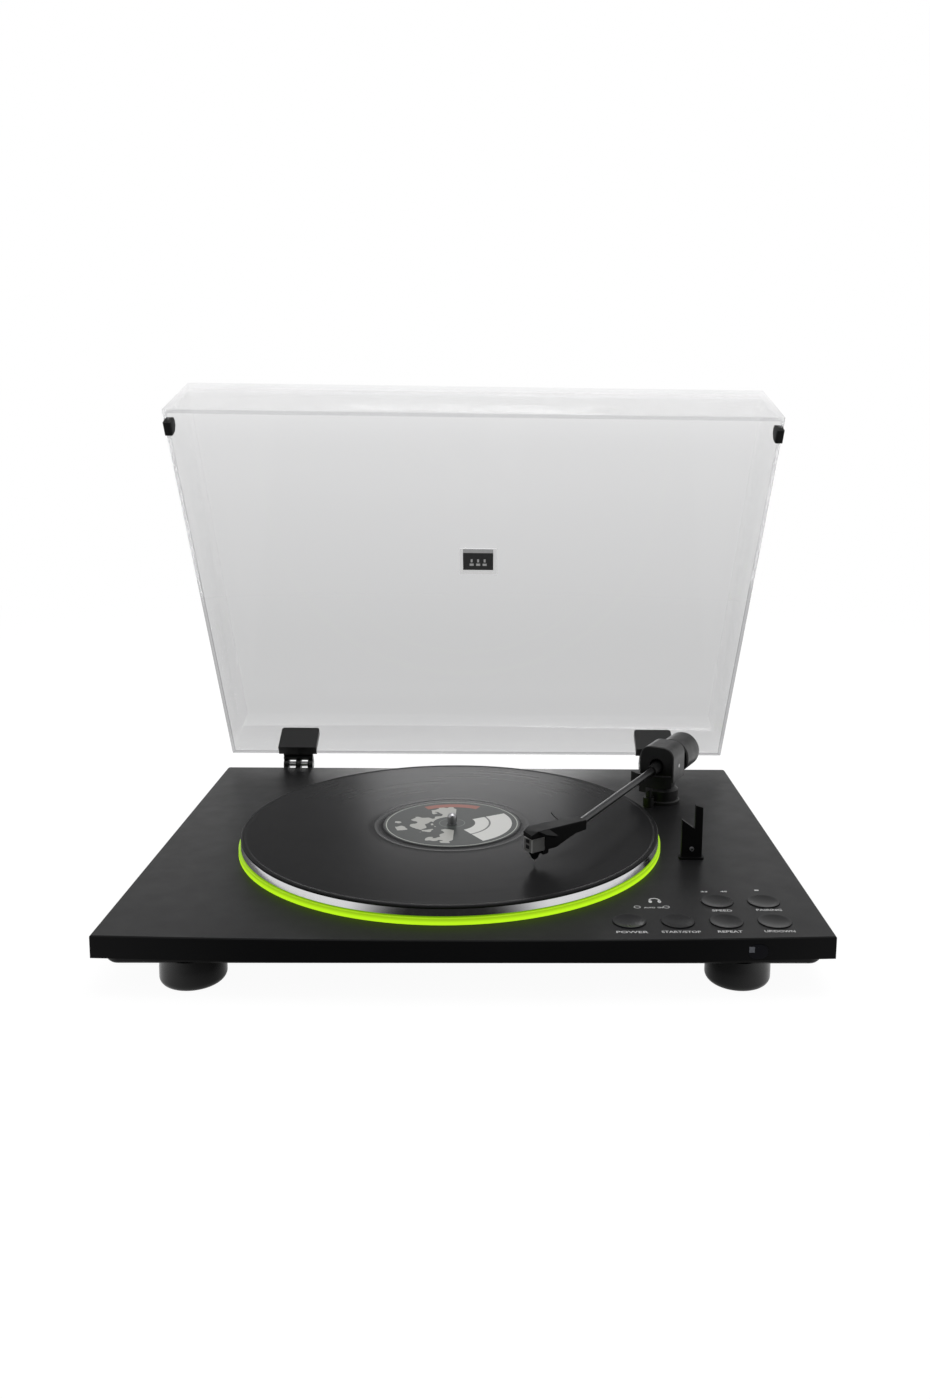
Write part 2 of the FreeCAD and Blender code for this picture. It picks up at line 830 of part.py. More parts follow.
def window_outline(extra, y0, y1):
    """A rounded oblong that runs through the front wall from y0 to y1."""
    radius = window_height / 2 + extra
    half = (window_width - window_height) / 2
    z = deck - window_drop
    left = rod(radius, V(window_x - half, y0, z), V(window_x - half, y1, z))
    right = rod(radius, V(window_x + half, y0, z), V(window_x + half, y1, z))
    middle = box(window_x - half, window_x + half, y0, y1, z - radius, z + radius)
    return fused([left, right, middle])


def front_window():
    return window_outline(0.0, window_front - window_proud, wall)


def main_board():
    low = plinth_bottom + running_gap
    rear = plinth_depth - wall - running_gap
    return box(power_x - main_board_margin, socket_first_x + socket_pitch + main_board_margin,
               rear - main_board_depth, rear, low, low + board_thickness)


def socket_places():
    return [socket_first_x, socket_first_x + socket_pitch]


def socket_point(x, reach):
    """A point on a rear socket's axis, reach behind the plinth's back."""
    return V(x, plinth_depth + reach, deck - socket_drop)


def signal_sockets():
    sockets = []
    for x in socket_places():
        barrel = rod(socket_radius, socket_point(x, -wall - 4), socket_point(x, socket_length))
        barrel = barrel.fuse(rod(socket_radius + 1.0, socket_point(x, 0), socket_point(x, 1.0)))
        bore = rod(socket_bore, socket_point(x, 0), socket_point(x, socket_length))
        sockets.append(barrel.removeSplitter().cut(bore))
    return group(sockets)


def power_inlet():
    z = deck - socket_drop
    back = plinth_depth - power_bore_depth - wall
    body = box(power_x - power_width / 2, power_x + power_width / 2, back, plinth_depth,
               z - power_height / 2, z + power_height / 2)
    bore = rod(power_bore, V(power_x, plinth_depth - power_bore_depth, z),
               V(power_x, plinth_depth, z))
    return body.cut(bore)


# ---------------------------------------------------------------------------
# Tonearm
# ---------------------------------------------------------------------------
def arm_pedestal():
    """The turned column under the arm, with the lifter's guide moulded on beside it."""
    bore = pivot_shaft_radius + pin_gap
    profile = [
        (bore, deck - pedestal_tube_depth), (pedestal_tube_radius, deck - pedestal_tube_depth),
        (pedestal_tube_radius, deck),
        (pedestal_foot_radius, deck), (pedestal_foot_radius, deck + pedestal_foot),
        (pedestal_radius, deck + pedestal_foot + 0.8),
        (pedestal_radius, deck + pedestal_shoulder),
        (pedestal_neck_radius, deck + pedestal_shoulder + 2.4),
        (pedestal_neck_radius, deck + pedestal_height), (bore, deck + pedestal_height),
    ]
    column = turned(profile, pivot_x, pivot_y)
    guide_x, guide_y = polar(lifter_post_reach, lifter_post_angle)
    guide = disc(lifter_guide_radius, deck, deck + lifter_guide_height, guide_x, guide_y)
    hole = disc(lifter_post_radius + pin_gap, deck, deck + lifter_guide_height, guide_x, guide_y)
    return fused([column, guide]).cut(hole)


def pivot_shaft():
    """The upright steel shaft under the gimbal housing."""
    return disc(pivot_shaft_radius, deck - pivot_shaft_depth, housing_bottom, pivot_x, pivot_y)


def arch_profile(half, low, high, radius, y0, y1):
    """A prism along Y with a flat bottom and two rounded top corners."""
    block = box(-half, half, y0, y1, low, high)
    top_edges = [edge for edge in edges_at_height(block, high)
                 if abs(edge.BoundBox.XMax - edge.BoundBox.XMin) < 1e-6]
    return block.makeFillet(radius, top_edges)


def gimbal_housing():
    """An arched cover with a slot for the arm in front and one for the stub behind."""
    half = housing_width / 2
    top = housing_bottom + housing_height
    body = arch_profile(half, housing_bottom, top, housing_round, -housing_front, housing_rear)
    rim = [edge for edge in body.Edges if edge.BoundBox.ZMin > housing_bottom + 1e-6
           and abs(edge.BoundBox.YMax - edge.BoundBox.YMin) < 1e-6]
    body = body.makeChamfer(0.7, rim)
    cavity = arch_profile(half - housing_wall, housing_bottom + housing_wall, top - housing_wall,
                          housing_round - housing_wall, -housing_front + housing_wall,
                          housing_rear - housing_wall)
    body = body.cut(cavity)
    tilt = math.tan(math.radians(arm_lift_range))
    front = arm_slot(collar_radius + 2 * running_gap, housing_front * tilt, 0.0,
                     -housing_front - 1, -housing_front + housing_wall + 1)
    rear = arm_slot(stub_radius + 2 * running_gap, 0.0, housing_rear * tilt,
                    housing_rear - housing_wall - 1, housing_rear + 1)
    pins = rod(gimbal_pin_radius, V(-half, 0, arm_z), V(half, 0, arm_z))
    return into_arm(body.cut([front, rear, pins]))


def arm_slot(radius, rise, fall, y0, y1):
    """A slot round the arm axis that leaves room for it to tilt up or down."""
    high = rod(radius, V(0, y0, arm_z + rise), V(0, y1, arm_z + rise))
    low = rod(radius, V(0, y0, arm_z - fall), V(0, y1, arm_z - fall))
    middle = box(-radius, radius, y0, y1, arm_z - fall, arm_z + rise)
    return fused([high, low, middle])


def gimbal_pins():
    half = housing_width / 2
    inner = block_width / 2 - gimbal_pin_depth
    left = rod(gimbal_pin_radius, V(-half, 0, arm_z), V(-inner, 0, arm_z))
    right = rod(gimbal_pin_radius, V(inner, 0, arm_z), V(half, 0, arm_z))
    return into_arm(group([left, right]))


def pivot_block():
    """The block between the gimbal pins, with the rear stub that carries the counterweight."""
    half = block_width / 2
    block = box(-half, half, -block_length / 2, block_length / 2,
                arm_z - block_height / 2, arm_z + block_height / 2)
    block = block.makeChamfer(1.0, [edge for edge in block.Edges
                                    if edge.BoundBox.YMax - edge.BoundBox.YMin > 1])
    inner = half - gimbal_pin_depth - running_gap
    radius = gimbal_pin_radius + pin_gap
    left = rod(radius, V(-half, 0, arm_z), V(-inner, 0, arm_z))
    right = rod(radius, V(inner, 0, arm_z), V(half, 0, arm_z))
    stub = rod(stub_radius, V(0, block_length / 2, arm_z),
               V(0, weight_front + weight_length - 2, arm_z))
    return into_arm(block.cut([left, right]).fuse(stub))


def bent_bar(radius):
    """A round bar along the arm: straight, then a bend, then straight into the headshell."""
    turn = math.radians(headshell_turn)
    setback = tube_bend_radius * math.tan(turn / 2)
    start = V(0, -block_length / 2, arm_z)
    bend_start = V(0, -arm_reach + setback, arm_z)
    straight = rod(radius, start, bend_start)
    circle = Part.Wire(Part.makeCircle(radius, bend_start, V(0, -1, 0)))
    centre = V(-tube_bend_radius, bend_start.y, arm_z)
    bend = Part.Face(circle).revolve(centre, V(0, 0, 1), -headshell_turn)
    along = V(-math.sin(turn), -math.cos(turn), 0)
    bend_end = V(0, -arm_reach, arm_z).add(along * setback)
    end = rod(radius, bend_end, bend_end.add(along * tube_end_length))
    return fused([straight, bend, end])


def arm_tube():
    return into_arm(bent_bar(tube_radius).cut(bent_bar(tube_radius - tube_wall)))


def arm_collar():
    """A tapered ferrule that holds the tube at the gimbal."""
    start = -block_length / 2
    cone = Part.makeCone(collar_radius, collar_tip_radius, collar_length,
                         V(0, start, arm_z), V(0, -1, 0))
    bore = rod(tube_radius, V(0, start, arm_z), V(0, start - collar_length, arm_z))
    return into_arm(cone.cut(bore))


def along_arm(profile):
    """A solid turned about the arm axis, from (radius, distance behind the pivot) points."""
    solid = turned(profile)
    solid.rotate(V(0, 0, 0), V(1, 0, 0), -90)
    solid.translate(V(0, 0, arm_z))
    return into_arm(solid)


def counterweight():
    bore = stub_radius + pin_gap
    rear = weight_front + weight_length
    profile = [
        (bore, weight_front), (weight_radius - weight_edge, weight_front),
        (weight_radius, weight_front + weight_edge), (weight_radius, rear - weight_edge),
        (weight_radius - weight_edge, rear), (weight_radius * 0.6, rear),
        (weight_radius * 0.55, rear - 1.5), (bore, rear - 1.5),
    ]
    return along_arm(profile)


def weight_dial():
    bore = stub_radius + pin_gap
    front = weight_front - dial_length
    profile = [
        (bore, front), (dial_radius - 0.6, front), (dial_radius, front + 0.6),
        (dial_radius, weight_front), (bore, weight_front),
    ]
    return along_arm(profile)


def side_prism(points, x0, x1):
    """An outline of (distance forward, height above the arm axis) made solid from x0 to x1."""
    corners = [V(x0, -ahead, arm_z + height) for ahead, height in points]
    face = Part.Face(Part.makePolygon(corners + corners[:1]))
    return face.extrude(V(x1 - x0, 0, 0))


def headshell():
    """A moulded shell: neck round the tube, flat top, side skirts and a solid sloping nose."""
    nose = headshell_length - headshell_nose
    corner = headshell_length - headshell_corner_front
    outline = [
        (headshell_near, -headshell_start), (headshell_near, -headshell_length),
        (-headshell_far + headshell_corner_width, -corner),
        (-headshell_far, -corner + headshell_corner_length), (-headshell_far, -headshell_shoulder),
        (-headshell_neck_far, headshell_start), (-headshell_neck_far, -headshell_start),
    ]
    body = plate(outline, arm_z - headshell_skirt_low, arm_z + headshell_top)
    low = -headshell_skirt_low
    side = [
        (headshell_start, -headshell_neck_low),
        (headshell_throat, -headshell_neck_low - headshell_neck_slope),
        (headshell_cheek, low), (nose, low), (nose, -headshell_nose_low),
        (headshell_length, -headshell_nose_low),
        (headshell_length, headshell_top - headshell_nose_drop),
        (headshell_length - headshell_nose_slope, headshell_top), (headshell_start, headshell_top),
    ]
    body = body.common(side_prism(side, -2 * headshell_far, 2 * headshell_near))
    long_edge = headshell_length / 2
    body = body.makeFillet(headshell_edge,
                           [edge for edge in edges_at_height(body, arm_z + headshell_top)
                            if edge.BoundBox.YMax - edge.BoundBox.YMin > long_edge])
    pocket = box(-headshell_far + headshell_skirt, headshell_near - headshell_skirt, -nose,
                 -cartridge_back, arm_z + low, arm_z + headshell_top - headshell_plate)
    return into_headshell(body.cut(pocket)).cut(into_arm(bent_bar(tube_radius)))


def cartridge():
    """The pickup body between the skirts, with its sloped tail and the nose under the holder."""
    front = headshell_length - headshell_nose
    left = -headshell_far + headshell_skirt + cartridge_clearance
    right = headshell_near - headshell_skirt - cartridge_clearance
    side = [
        (cartridge_back, headshell_top - headshell_plate), (cartridge_back, -headshell_skirt_low),
        (cartridge_back + cartridge_slope, -cartridge_low), (front, -cartridge_low),
        (front, headshell_top - headshell_plate),
    ]
    body = side_prism(side, left, right)
    half = cartridge_nose_width / 2
    nose = side_prism([
        (front - cartridge_nose_length, -cartridge_low),
        (front - cartridge_nose_length, -cartridge_nose_low + cartridge_nose_edge),
        (front - cartridge_nose_length + cartridge_nose_edge, -cartridge_nose_low),
        (front, -cartridge_nose_low),
        (front, -cartridge_low),
    ], -half, half)
    return into_headshell(fused([body, nose]))


def stylus():
    """The box under the headshell's nose, with the stylus socket and tip below it."""
    half = holder_width / 2
    front = headshell_length - holder_setback
    back = headshell_length - headshell_nose
    side = [(back, -headshell_nose_low), (back, -holder_low), (front, -holder_low),
            (front, -headshell_nose_low)]
    body = side_prism(side, -half, half)
    body = body.makeChamfer(holder_edge, [edge for edge in edges_at_height(body, arm_z - holder_low)
                                          if abs(edge.BoundBox.YMin + back) > 1e-6])
    low = arm_z - holder_low
    point = V(0, -stylus_reach, stylus_tip)
    socket = Part.makeCone(stylus_socket_radius * 0.5, stylus_socket_radius, stylus_socket_length,
                           V(0, -stylus_reach, low - stylus_socket_length))
    tip = Part.makeCone(stylus_radius * 0.3, stylus_radius,
                        low - stylus_socket_length - stylus_tip, point)
    return into_headshell(fused([body, socket, tip]))


def finger_lift():
    """A thin wing on the outer side of the headshell that droops towards its tip."""
    root = headshell_near
    tip = root + finger_reach
    high = arm_z + headshell_top - finger_inset
    outline = [(root, -finger_back), (root, -finger_front), (root + finger_knee_reach, -finger_knee),
               (tip, -finger_tip_front), (tip, -finger_tip_back)]
    wing = plate(outline, high - finger_droop - finger_thickness, high)
    section = [(root, high), (tip, high - finger_droop),
               (tip, high - finger_droop - finger_thickness), (root, high - finger_thickness)]
    corners = [V(x, -headshell_length, z) for x, z in section]
    slab = Part.Face(Part.makePolygon(corners + corners[:1])).extrude(V(0, headshell_length, 0))
    return into_headshell(wing.common(slab))


def arc_bar(radius, width, first, last, z0, z1):
    """A bar bent round the tonearm pivot between two angles."""
    outer = Part.makeCylinder(radius + width / 2, z1 - z0, V(0, 0, z0), V(0, 0, 1), last - first)
    inner = disc(radius - width / 2, z0, z1)
    bar = outer.cut(inner)
    bar.rotate(V(0, 0, 0), V(0, 0, 1), -90 - last)
    bar.translate(V(pivot_x, pivot_y, 0))
    return bar


def cue_lifter():
    """Post, arm and curved bar that raise the tube; the bar lies just under the tube."""
    top = arm_z - tube_radius - running_gap
    low = top - lifter_bar_height
    post_x, post_y = polar(lifter_post_reach, lifter_post_angle)
    arm_top = housing_bottom - lifter_rise() - running_gap
    arm_low = arm_top - lifter_arm_thickness
    bar = arc_bar(lifter_radius, lifter_bar, lifter_first_angle, lifter_last_angle, low, top)
    post = disc(lifter_post_radius, deck - lifter_post_depth, arm_top, post_x, post_y)
    reach = arc_bar((lifter_post_reach + lifter_radius) / 2 + lifter_bar / 4,
                    lifter_radius - lifter_post_reach + lifter_bar / 2,
                    lifter_post_angle - 6, lifter_post_angle + 6, arm_low, arm_top)
    riser = arc_bar(lifter_radius, lifter_bar, lifter_post_angle - 6, lifter_post_angle + 6,
                    arm_low, low)
    return fused([bar, riser, reach, post])


def lifter_rise():
    """How far the bar rises when the arm is lifted all the way."""
    return (lifter_radius - lifter_bar / 2) * math.radians(arm_lift_range)


def arm_rest():
    """An upright plate with a tall outer prong and a sloping shelf under the parked arm."""
    shelf = arm_height - tube_radius - running_gap
    prong = tube_radius + 1.4 * running_gap
    outline = [(-rest_left, 0), (rest_right, 0), (rest_right, rest_prong_height - 1.6),
               (prong, rest_prong_height), (prong, rest_notch_height), (-rest_left, shelf)]
    corners = [V(x, -rest_reach - rest_thickness / 2, deck + z) for x, z in outline]
    upright = Part.Face(Part.makePolygon(corners + corners[:1])).extrude(V(0, rest_thickness, 0))
    middle = (rest_right - rest_left) / 2
    foot = rounded_block(middle - rest_foot_width / 2, middle + rest_foot_width / 2,
                         -rest_reach - rest_foot_depth / 2, -rest_reach + rest_foot_depth / 2,
                         deck, deck + rest_foot_height, rest_foot_depth / 3)
    whole = fused([upright, foot])
    hole = rod(rest_screw_radius * 0.6, V(middle, -rest_reach - rest_thickness, deck + rest_screw_height),
               V(middle, -rest_reach + rest_thickness, deck + rest_screw_height))
    return into_rest(whole.cut(hole))


# ---------------------------------------------------------------------------
# Dust cover
# ---------------------------------------------------------------------------
lid_half = lid_width / 2


def lid_top_panel():
    return opened(box(-lid_half, lid_half, lid_front, lid_rear, lid_top - lid_wall, lid_top))


def lid_front_panel():
    return opened(box(-lid_half, lid_half, lid_front, lid_front + lid_wall,
                      lid_rim, lid_top - lid_wall))


def lid_rear_panel():
    return opened(box(-lid_half, lid_half, lid_rear - lid_wall, lid_rear,
                      lid_rim, lid_top - lid_wall))


def lid_side_panel(side):
    outer = side * lid_half
    inner = side * (lid_half - lid_wall)
    return opened(box(min(outer, inner), max(outer, inner), lid_front + lid_wall,
                      lid_rear - lid_wall, lid_rim, lid_top - lid_wall))


def lid_bumpers():
    """Rubber pads that grip the rim of each side sheet near its front corner."""
    pads = []
    for side in (-1, 1):
        middle = side * (lid_half - lid_wall / 2)
        half = lid_wall / 2 + bumper_skin
        front = lid_front + bumper_offset
        pad = rounded_block(middle - half, middle + half, front, front + bumper_length,
                            deck + running_gap, lid_rim + bumper_grip, 0.6)
        pads.append(pad.cut(box(middle - lid_wall / 2, middle + lid_wall / 2, front - 1,
                                front + bumper_length + 1, lid_rim, lid_rim + bumper_grip)))
    return opened(group(pads))


def lid_badge():
    """A small plain plate inside the top sheet, at its middle."""
    middle = (lid_front + lid_rear) / 2
    under = lid_top - lid_wall
    return opened(rounded_block(-badge_width / 2, badge_width / 2, middle - badge_length / 2,
                                middle + badge_length / 2, under - badge_thickness, under,
                                badge_round))


# ---------------------------------------------------------------------------
# Hinges
# ---------------------------------------------------------------------------
def hinge_places():
    return (hinge_left_inset - right_side, right_side - hinge_right_inset)


def hinge_bar(radius, x0, x1):
    """A round bar on the hinge axis."""
    return rod(radius, V(x0, hinge_y, hinge_z), V(x1, hinge_y, hinge_z))


def hinge_clip(x):
    """Grips the rear sheet's rim in a slot and carries the two outer knuckles on the pin."""
    half = clip_width / 2
    rear_face = lid_rear + clip_outer
    front_face = lid_rear - lid_wall - clip_inner
    low = lid_rim - clip_lip
    block = box(x - half, x + half, front_face, lid_rear - lid_wall, low, lid_rim + clip_grip)
    block = block.makeFillet(clip_round, [
        edge for edge in block.Edges
        if edge.BoundBox.YMax - edge.BoundBox.YMin > 1 and edge.BoundBox.ZMin > lid_rim])
    floor = box(x - half, x + half, lid_rear - lid_wall, lid_rear, low, lid_rim)
    outer_leg = box(x - hinge_reach, x + hinge_reach, lid_rear, rear_face, low,
                    lid_rim + clip_grip / 2)
    tail = box(x - hinge_reach, x + hinge_reach, rear_face,
               hinge_y - knuckle_radius - running_gap, hinge_z, hinge_z + knuckle_radius)
    parts = [block, floor, outer_leg, tail]
    inner = hinge_reach - knuckle_width
    for x0, x1 in ((x - hinge_reach, x - inner), (x + inner, x + hinge_reach)):
        parts.append(hinge_bar(knuckle_radius, x0, x1))
        parts.append(box(x0, x1, rear_face, hinge_y, hinge_z, hinge_z + knuckle_radius))
    clip = fused(parts)
    bore = hinge_bar(hinge_pin_radius + pin_gap, x - hinge_reach, x + hinge_reach)
    return opened(clip.cut(bore))


def hinge_bracket(x):
    """A plate on the plinth's back with one middle ear that holds the pin."""
    low = plinth_bottom + bracket_low
    high = deck - bracket_top
    back = plinth_depth + bracket_thickness
    half = ear_width / 2
    side = [(plinth_depth, low), (back + bracket_web, low), (hinge_y + knuckle_radius, hinge_z),
            (hinge_y, hinge_z), (hinge_y - knuckle_radius + 0.2, hinge_z - bracket_relief),
            (plinth_depth, high)]
    corners = [V(x - half, y, z) for y, z in side]
    web = Part.Face(Part.makePolygon(corners + corners[:1])).extrude(V(ear_width, 0, 0))
    base = box(x - hinge_reach, x + hinge_reach, plinth_depth, back, low, high)
    bracket = fused([base, web, hinge_bar(knuckle_radius, x - half, x + half)])
    bore = hinge_bar(hinge_pin_radius, x - half, x + half)
    holes = [rod(hinge_screw_radius * 0.5, V(screw_x, plinth_depth, low + hinge_screw_rise),
                 V(screw_x, back, low + hinge_screw_rise)) for screw_x in hinge_screw_places(x)]
    return bracket.cut([bore] + holes)


def hinge_screw_places(x):
    """Sideways places of one bracket's two screws, beside its ear."""
    spread = (ear_width / 2 + hinge_reach) / 2
    return (x - spread, x + spread)


def hinge_pins():
    return group([hinge_bar(hinge_pin_radius, x - hinge_reach, x + hinge_reach)
                  for x in hinge_places()])


def hinge_sleeves():
    """Friction sleeves on each pin, either side of the ear, that hold the cover up."""
    near = ear_width / 2 + running_gap
    far = ear_width / 2 + sleeve_space - running_gap
    sleeves = []
    for x in hinge_places():
        for x0, x1 in ((x - far, x - near), (x + near, x + far)):
            sleeve = hinge_bar(hinge_pin_radius + sleeve_wall, x0, x1)
            sleeves.append(sleeve.cut(hinge_bar(hinge_pin_radius, x0, x1)))
    return group(sleeves)


def hinge_screws():
    """Pan-head screws that hold the brackets to the plinth's back."""
    back = plinth_depth + bracket_thickness
    z = plinth_bottom + bracket_low + hinge_screw_rise
    screws = []
    for x in hinge_places():
        for screw_x in hinge_screw_places(x):
            head = rod(hinge_screw_radius, V(screw_x, back, z),
                       V(screw_x, back + hinge_screw_head, z))
            shank = rod(hinge_screw_radius * 0.5, V(screw_x, plinth_depth, z),
                        V(screw_x, back, z))
            screws.append(head.fuse(shank))
    return group(screws)


# ---------------------------------------------------------------------------
# All pieces by name
# ---------------------------------------------------------------------------
def build():
    nodes = {
        "plinth_shell": plinth_shell(),
        "base_plate": base_plate(),
        "base_screws": base_screws(),
        "foot_pads": foot_pads(),
        "bearing_housing": bearing_housing(),
        "spindle": spindle(),
        "drive_hub": drive_hub(),
        "platter": platter(),
        "platter_mat": platter_mat(),
        "vinyl_record": vinyl_record(),
        "record_label": record_label(),
        "drive_motor": drive_motor(),
        "motor_pulley": motor_pulley(),
        "drive_belt": drive_belt(),
        "light_ring": light_ring(),
        "light_board": light_board(),
        "button_board": button_board(),
        "front_window": front_window(),
        "main_board": main_board(),
        "signal_sockets": signal_sockets(),
        "power_inlet": power_inlet(),
        "arm_pedestal": arm_pedestal(),
        "pivot_shaft": pivot_shaft(),
        "gimbal_housing": gimbal_housing(),
        "gimbal_pins": gimbal_pins(),
        "pivot_block": pivot_block(),
        "arm_tube": arm_tube(),
        "arm_collar": arm_collar(),
        "counterweight": counterweight(),
        "weight_dial": weight_dial(),
        "headshell": headshell(),
        "cartridge": cartridge(),
        "stylus": stylus(),
        "finger_lift": finger_lift(),
        "cue_lifter": cue_lifter(),
        "arm_rest": arm_rest(),
        "lid_top_panel": lid_top_panel(),
        "lid_front_panel": lid_front_panel(),
        "lid_rear_panel": lid_rear_panel(),
        "lid_left_panel": lid_side_panel(-1),
        "lid_right_panel": lid_side_panel(1),
        "lid_bumpers": lid_bumpers(),
        "lid_badge": lid_badge(),
        "hinge_pins": hinge_pins(),
        "hinge_sleeves": hinge_sleeves(),
        "hinge_screws": hinge_screws(),
    }
    for name, x, y in foot_places:
        nodes["foot_" + name] = foot_body(x, y)
    for name, (x, y) in button_places.items():
        nodes[name] = button(x, y)
    for name, x in zip(("left", "right"), hinge_places()):
        nodes["hinge_clip_" + name] = hinge_clip(x)
        nodes["hinge_bracket_" + name] = hinge_bracket(x)
    return nodes


def export(nodes):
    os.makedirs("parts", exist_ok=True)
    for name, shape in nodes.items():
        placed = shape.copy()
        placed.translate(origin * -1)
        if not placed.isValid():
            raise ValueError(name + " is not a valid shape")
        placed.exportStep("parts/" + name + ".step")


export(build())
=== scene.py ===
import json
from math import cos, pi, radians, sin

import bmesh
import bpy
from mathutils import Matrix, Vector

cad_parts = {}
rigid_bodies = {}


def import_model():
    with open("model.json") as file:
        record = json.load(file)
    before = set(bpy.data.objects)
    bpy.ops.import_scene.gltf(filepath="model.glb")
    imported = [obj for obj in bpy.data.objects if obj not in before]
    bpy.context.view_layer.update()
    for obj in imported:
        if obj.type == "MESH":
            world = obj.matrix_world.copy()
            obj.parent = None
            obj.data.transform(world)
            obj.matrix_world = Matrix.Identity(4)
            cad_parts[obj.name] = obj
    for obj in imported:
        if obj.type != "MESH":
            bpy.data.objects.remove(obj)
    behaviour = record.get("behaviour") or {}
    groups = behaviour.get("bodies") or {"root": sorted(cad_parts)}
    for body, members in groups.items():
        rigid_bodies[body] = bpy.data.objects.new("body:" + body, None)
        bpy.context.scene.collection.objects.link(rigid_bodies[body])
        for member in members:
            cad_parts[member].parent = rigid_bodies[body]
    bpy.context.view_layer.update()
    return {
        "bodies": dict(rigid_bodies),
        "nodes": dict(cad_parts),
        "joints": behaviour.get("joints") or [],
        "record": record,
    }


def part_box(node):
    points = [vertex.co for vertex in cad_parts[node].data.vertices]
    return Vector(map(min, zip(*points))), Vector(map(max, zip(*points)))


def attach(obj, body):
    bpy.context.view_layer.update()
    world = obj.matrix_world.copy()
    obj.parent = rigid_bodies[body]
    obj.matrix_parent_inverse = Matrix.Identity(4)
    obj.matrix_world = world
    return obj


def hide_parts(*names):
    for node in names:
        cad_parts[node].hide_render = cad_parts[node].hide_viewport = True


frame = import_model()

bl_info = {
    "name": "Record player finish",
    "version": (1, 0, 0),
    "blender": (4, 5, 0),
    "location": "View3D > Sidebar > Record player",
    "description": "Finishes, markings and fine detail for a record player with a clear cover",
    "category": "Object",
}

MM = 0.001
WELD = 1e-7
nodes = frame["nodes"]


# ---- Places read from the construction model ----
def low(node):
    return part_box(node)[0]


def high(node):
    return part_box(node)[1]


def half_width(node):
    return (high(node).x - low(node).x) / 2


def joint(name):
    return next(entry for entry in frame["joints"] if entry["name"] == name)


DECK = high("plinth_shell").z
FRONT = high("plinth_shell").y - 0.346
SPINDLE = Vector(joint("platter_spin")["pos_m"])
ARM_PIVOT = Vector(joint("arm_lift")["pos_m"])
ARM_LINE = Vector(joint("weight_turn")["axis"])
HINGE = Vector(joint("lid_hinge")["pos_m"])
COVER_ANGLE = radians(joint("lid_hinge")["range_deg"][1])
RECORD_TOP = high("vinyl_record").z
BORE = high("spindle").x - SPINDLE.x + 0.05 * MM
BUTTONS = [name for name in frame["bodies"] if name.startswith("button_")]
HEAD_BEND = ARM_PIVOT + ARM_LINE * 0.165
HEAD_TURN = 27.0
HEAD_LINE = Matrix.Rotation(radians(-HEAD_TURN), 3, "Z") @ ARM_LINE
HEAD_FRAME = Matrix(((HEAD_LINE.y, -HEAD_LINE.x, 0.0), HEAD_LINE, (0.0, 0.0, 1.0))).transposed()

# Distance between the turning marks of the platter
TURNING_PITCH = 0.4 * MM

# Label print: colour, inner and outer radius in mm, start and end angle in degrees
LABEL_MARKS = (((0.62, 0.62, 0.6), 17.0, 44.0, -58.0, 30.0),
               ((0.12, 0.12, 0.12), 27.0, 28.4, -58.0, 30.0),
               ((0.26, 0.075, 0.05), 36.0, 43.0, 62.0, 122.0),
               ((0.4, 0.42, 0.38), 47.6, 48.3, None, None),
               ((0.12, 0.14, 0.13), 9.0, 9.6, None, None))

# Deck print: words with the x values they span and their middle's distance from the front, mm
DECK_WORDS = (("POWER", 89.6, 108.9, 6.1), ("START/STOP", 116.9, 140.6, 6.5),
              ("REPEAT", 150.9, 165.8, 7.0), ("UP/DOWN", 179.2, 197.8, 7.6),
              ("SPEED", 153.0, 165.6, 37.8), ("PAIRING", 181.2, 197.3, 38.9))
DECK_SMALL_WORDS = (("33", 151.1, 155.5, 67.7), ("45", 163.9, 168.4, 68.1),
                    ("AUTO", 110.6, 117.8, 42.0), ("ON", 119.3, 122.6, 42.2),
                    ("-", 186.9, 189.7, 70.3))
DECK_OVALS = ((106.5, 42.9), (124.9, 43.0))

# The closed cover's outer skin: half widths at rim and top, then places from front and deck
COVER_WALL = 3.0
COVER_RIM = (0.2208, 0.2150, FRONT + 0.0002, DECK + 0.0015)
COVER_REAR = (0.2185, 0.2145, FRONT + 0.3445, DECK + 0.0030)
COVER_TOP = (FRONT + 0.0065, FRONT + 0.3445, DECK + 0.0547)

# Badge plates: middle, width, start and end back from the front, depth, in mm, and finish
BADGE_PITCH = 5.4
BADGE_BAR = ((3.4, 168.0, 170.2, 0.62, 2), (1.6, 163.6, 166.6, 0.62, 2))
BADGE_PLATES = [(0.0, 30.6, 152.9, 178.9, 0.3, 0), (0.0, 25.1, 153.3, 174.6, 0.5, 1),
                (0.0, 25.1, 153.3, 157.1, 0.6, 2)]
BADGE_PLATES += [(bar * BADGE_PITCH, *plate) for bar in (-1, 0, 1) for plate in BADGE_BAR]

# Rim bumpers, in mm: rows of distance from the front and reach up the wall
BUMPER_ROWS = ((10.0, 7.4), (13.0, 8.6), (17.0, 8.2), (20.5, 5.2))

# Stylus in the headshell's frame, in mm: half width, then start and end ahead, low and high
STYLUS_BLOCK = (4.6, 33.5, 44.5, -11.5, -1.8)
STYLUS_SOCKETS = ((1.9, 43.8, 44.56, -5.4, -2.9), (1.9, 43.8, 44.56, -9.3, -6.8))
STYLUS_FOOT = (2.6, 35.0, 42.6, -17.2, -11.4)
NEEDLE_AHEAD = 38.5
NEEDLE_MIDDLE = -18.3
FOOT_TAPER_LOW = -14.0

# Points of the lift wire in the headshell's frame, in mm: side, ahead, up
LIFT_WIRE = ((3.0, 8.0, -1.0), (7.0, 8.5, 0.6), (11.0, 9.5, 0.4), (15.0, 10.5, 1.6),
             (18.0, 11.0, 4.2))

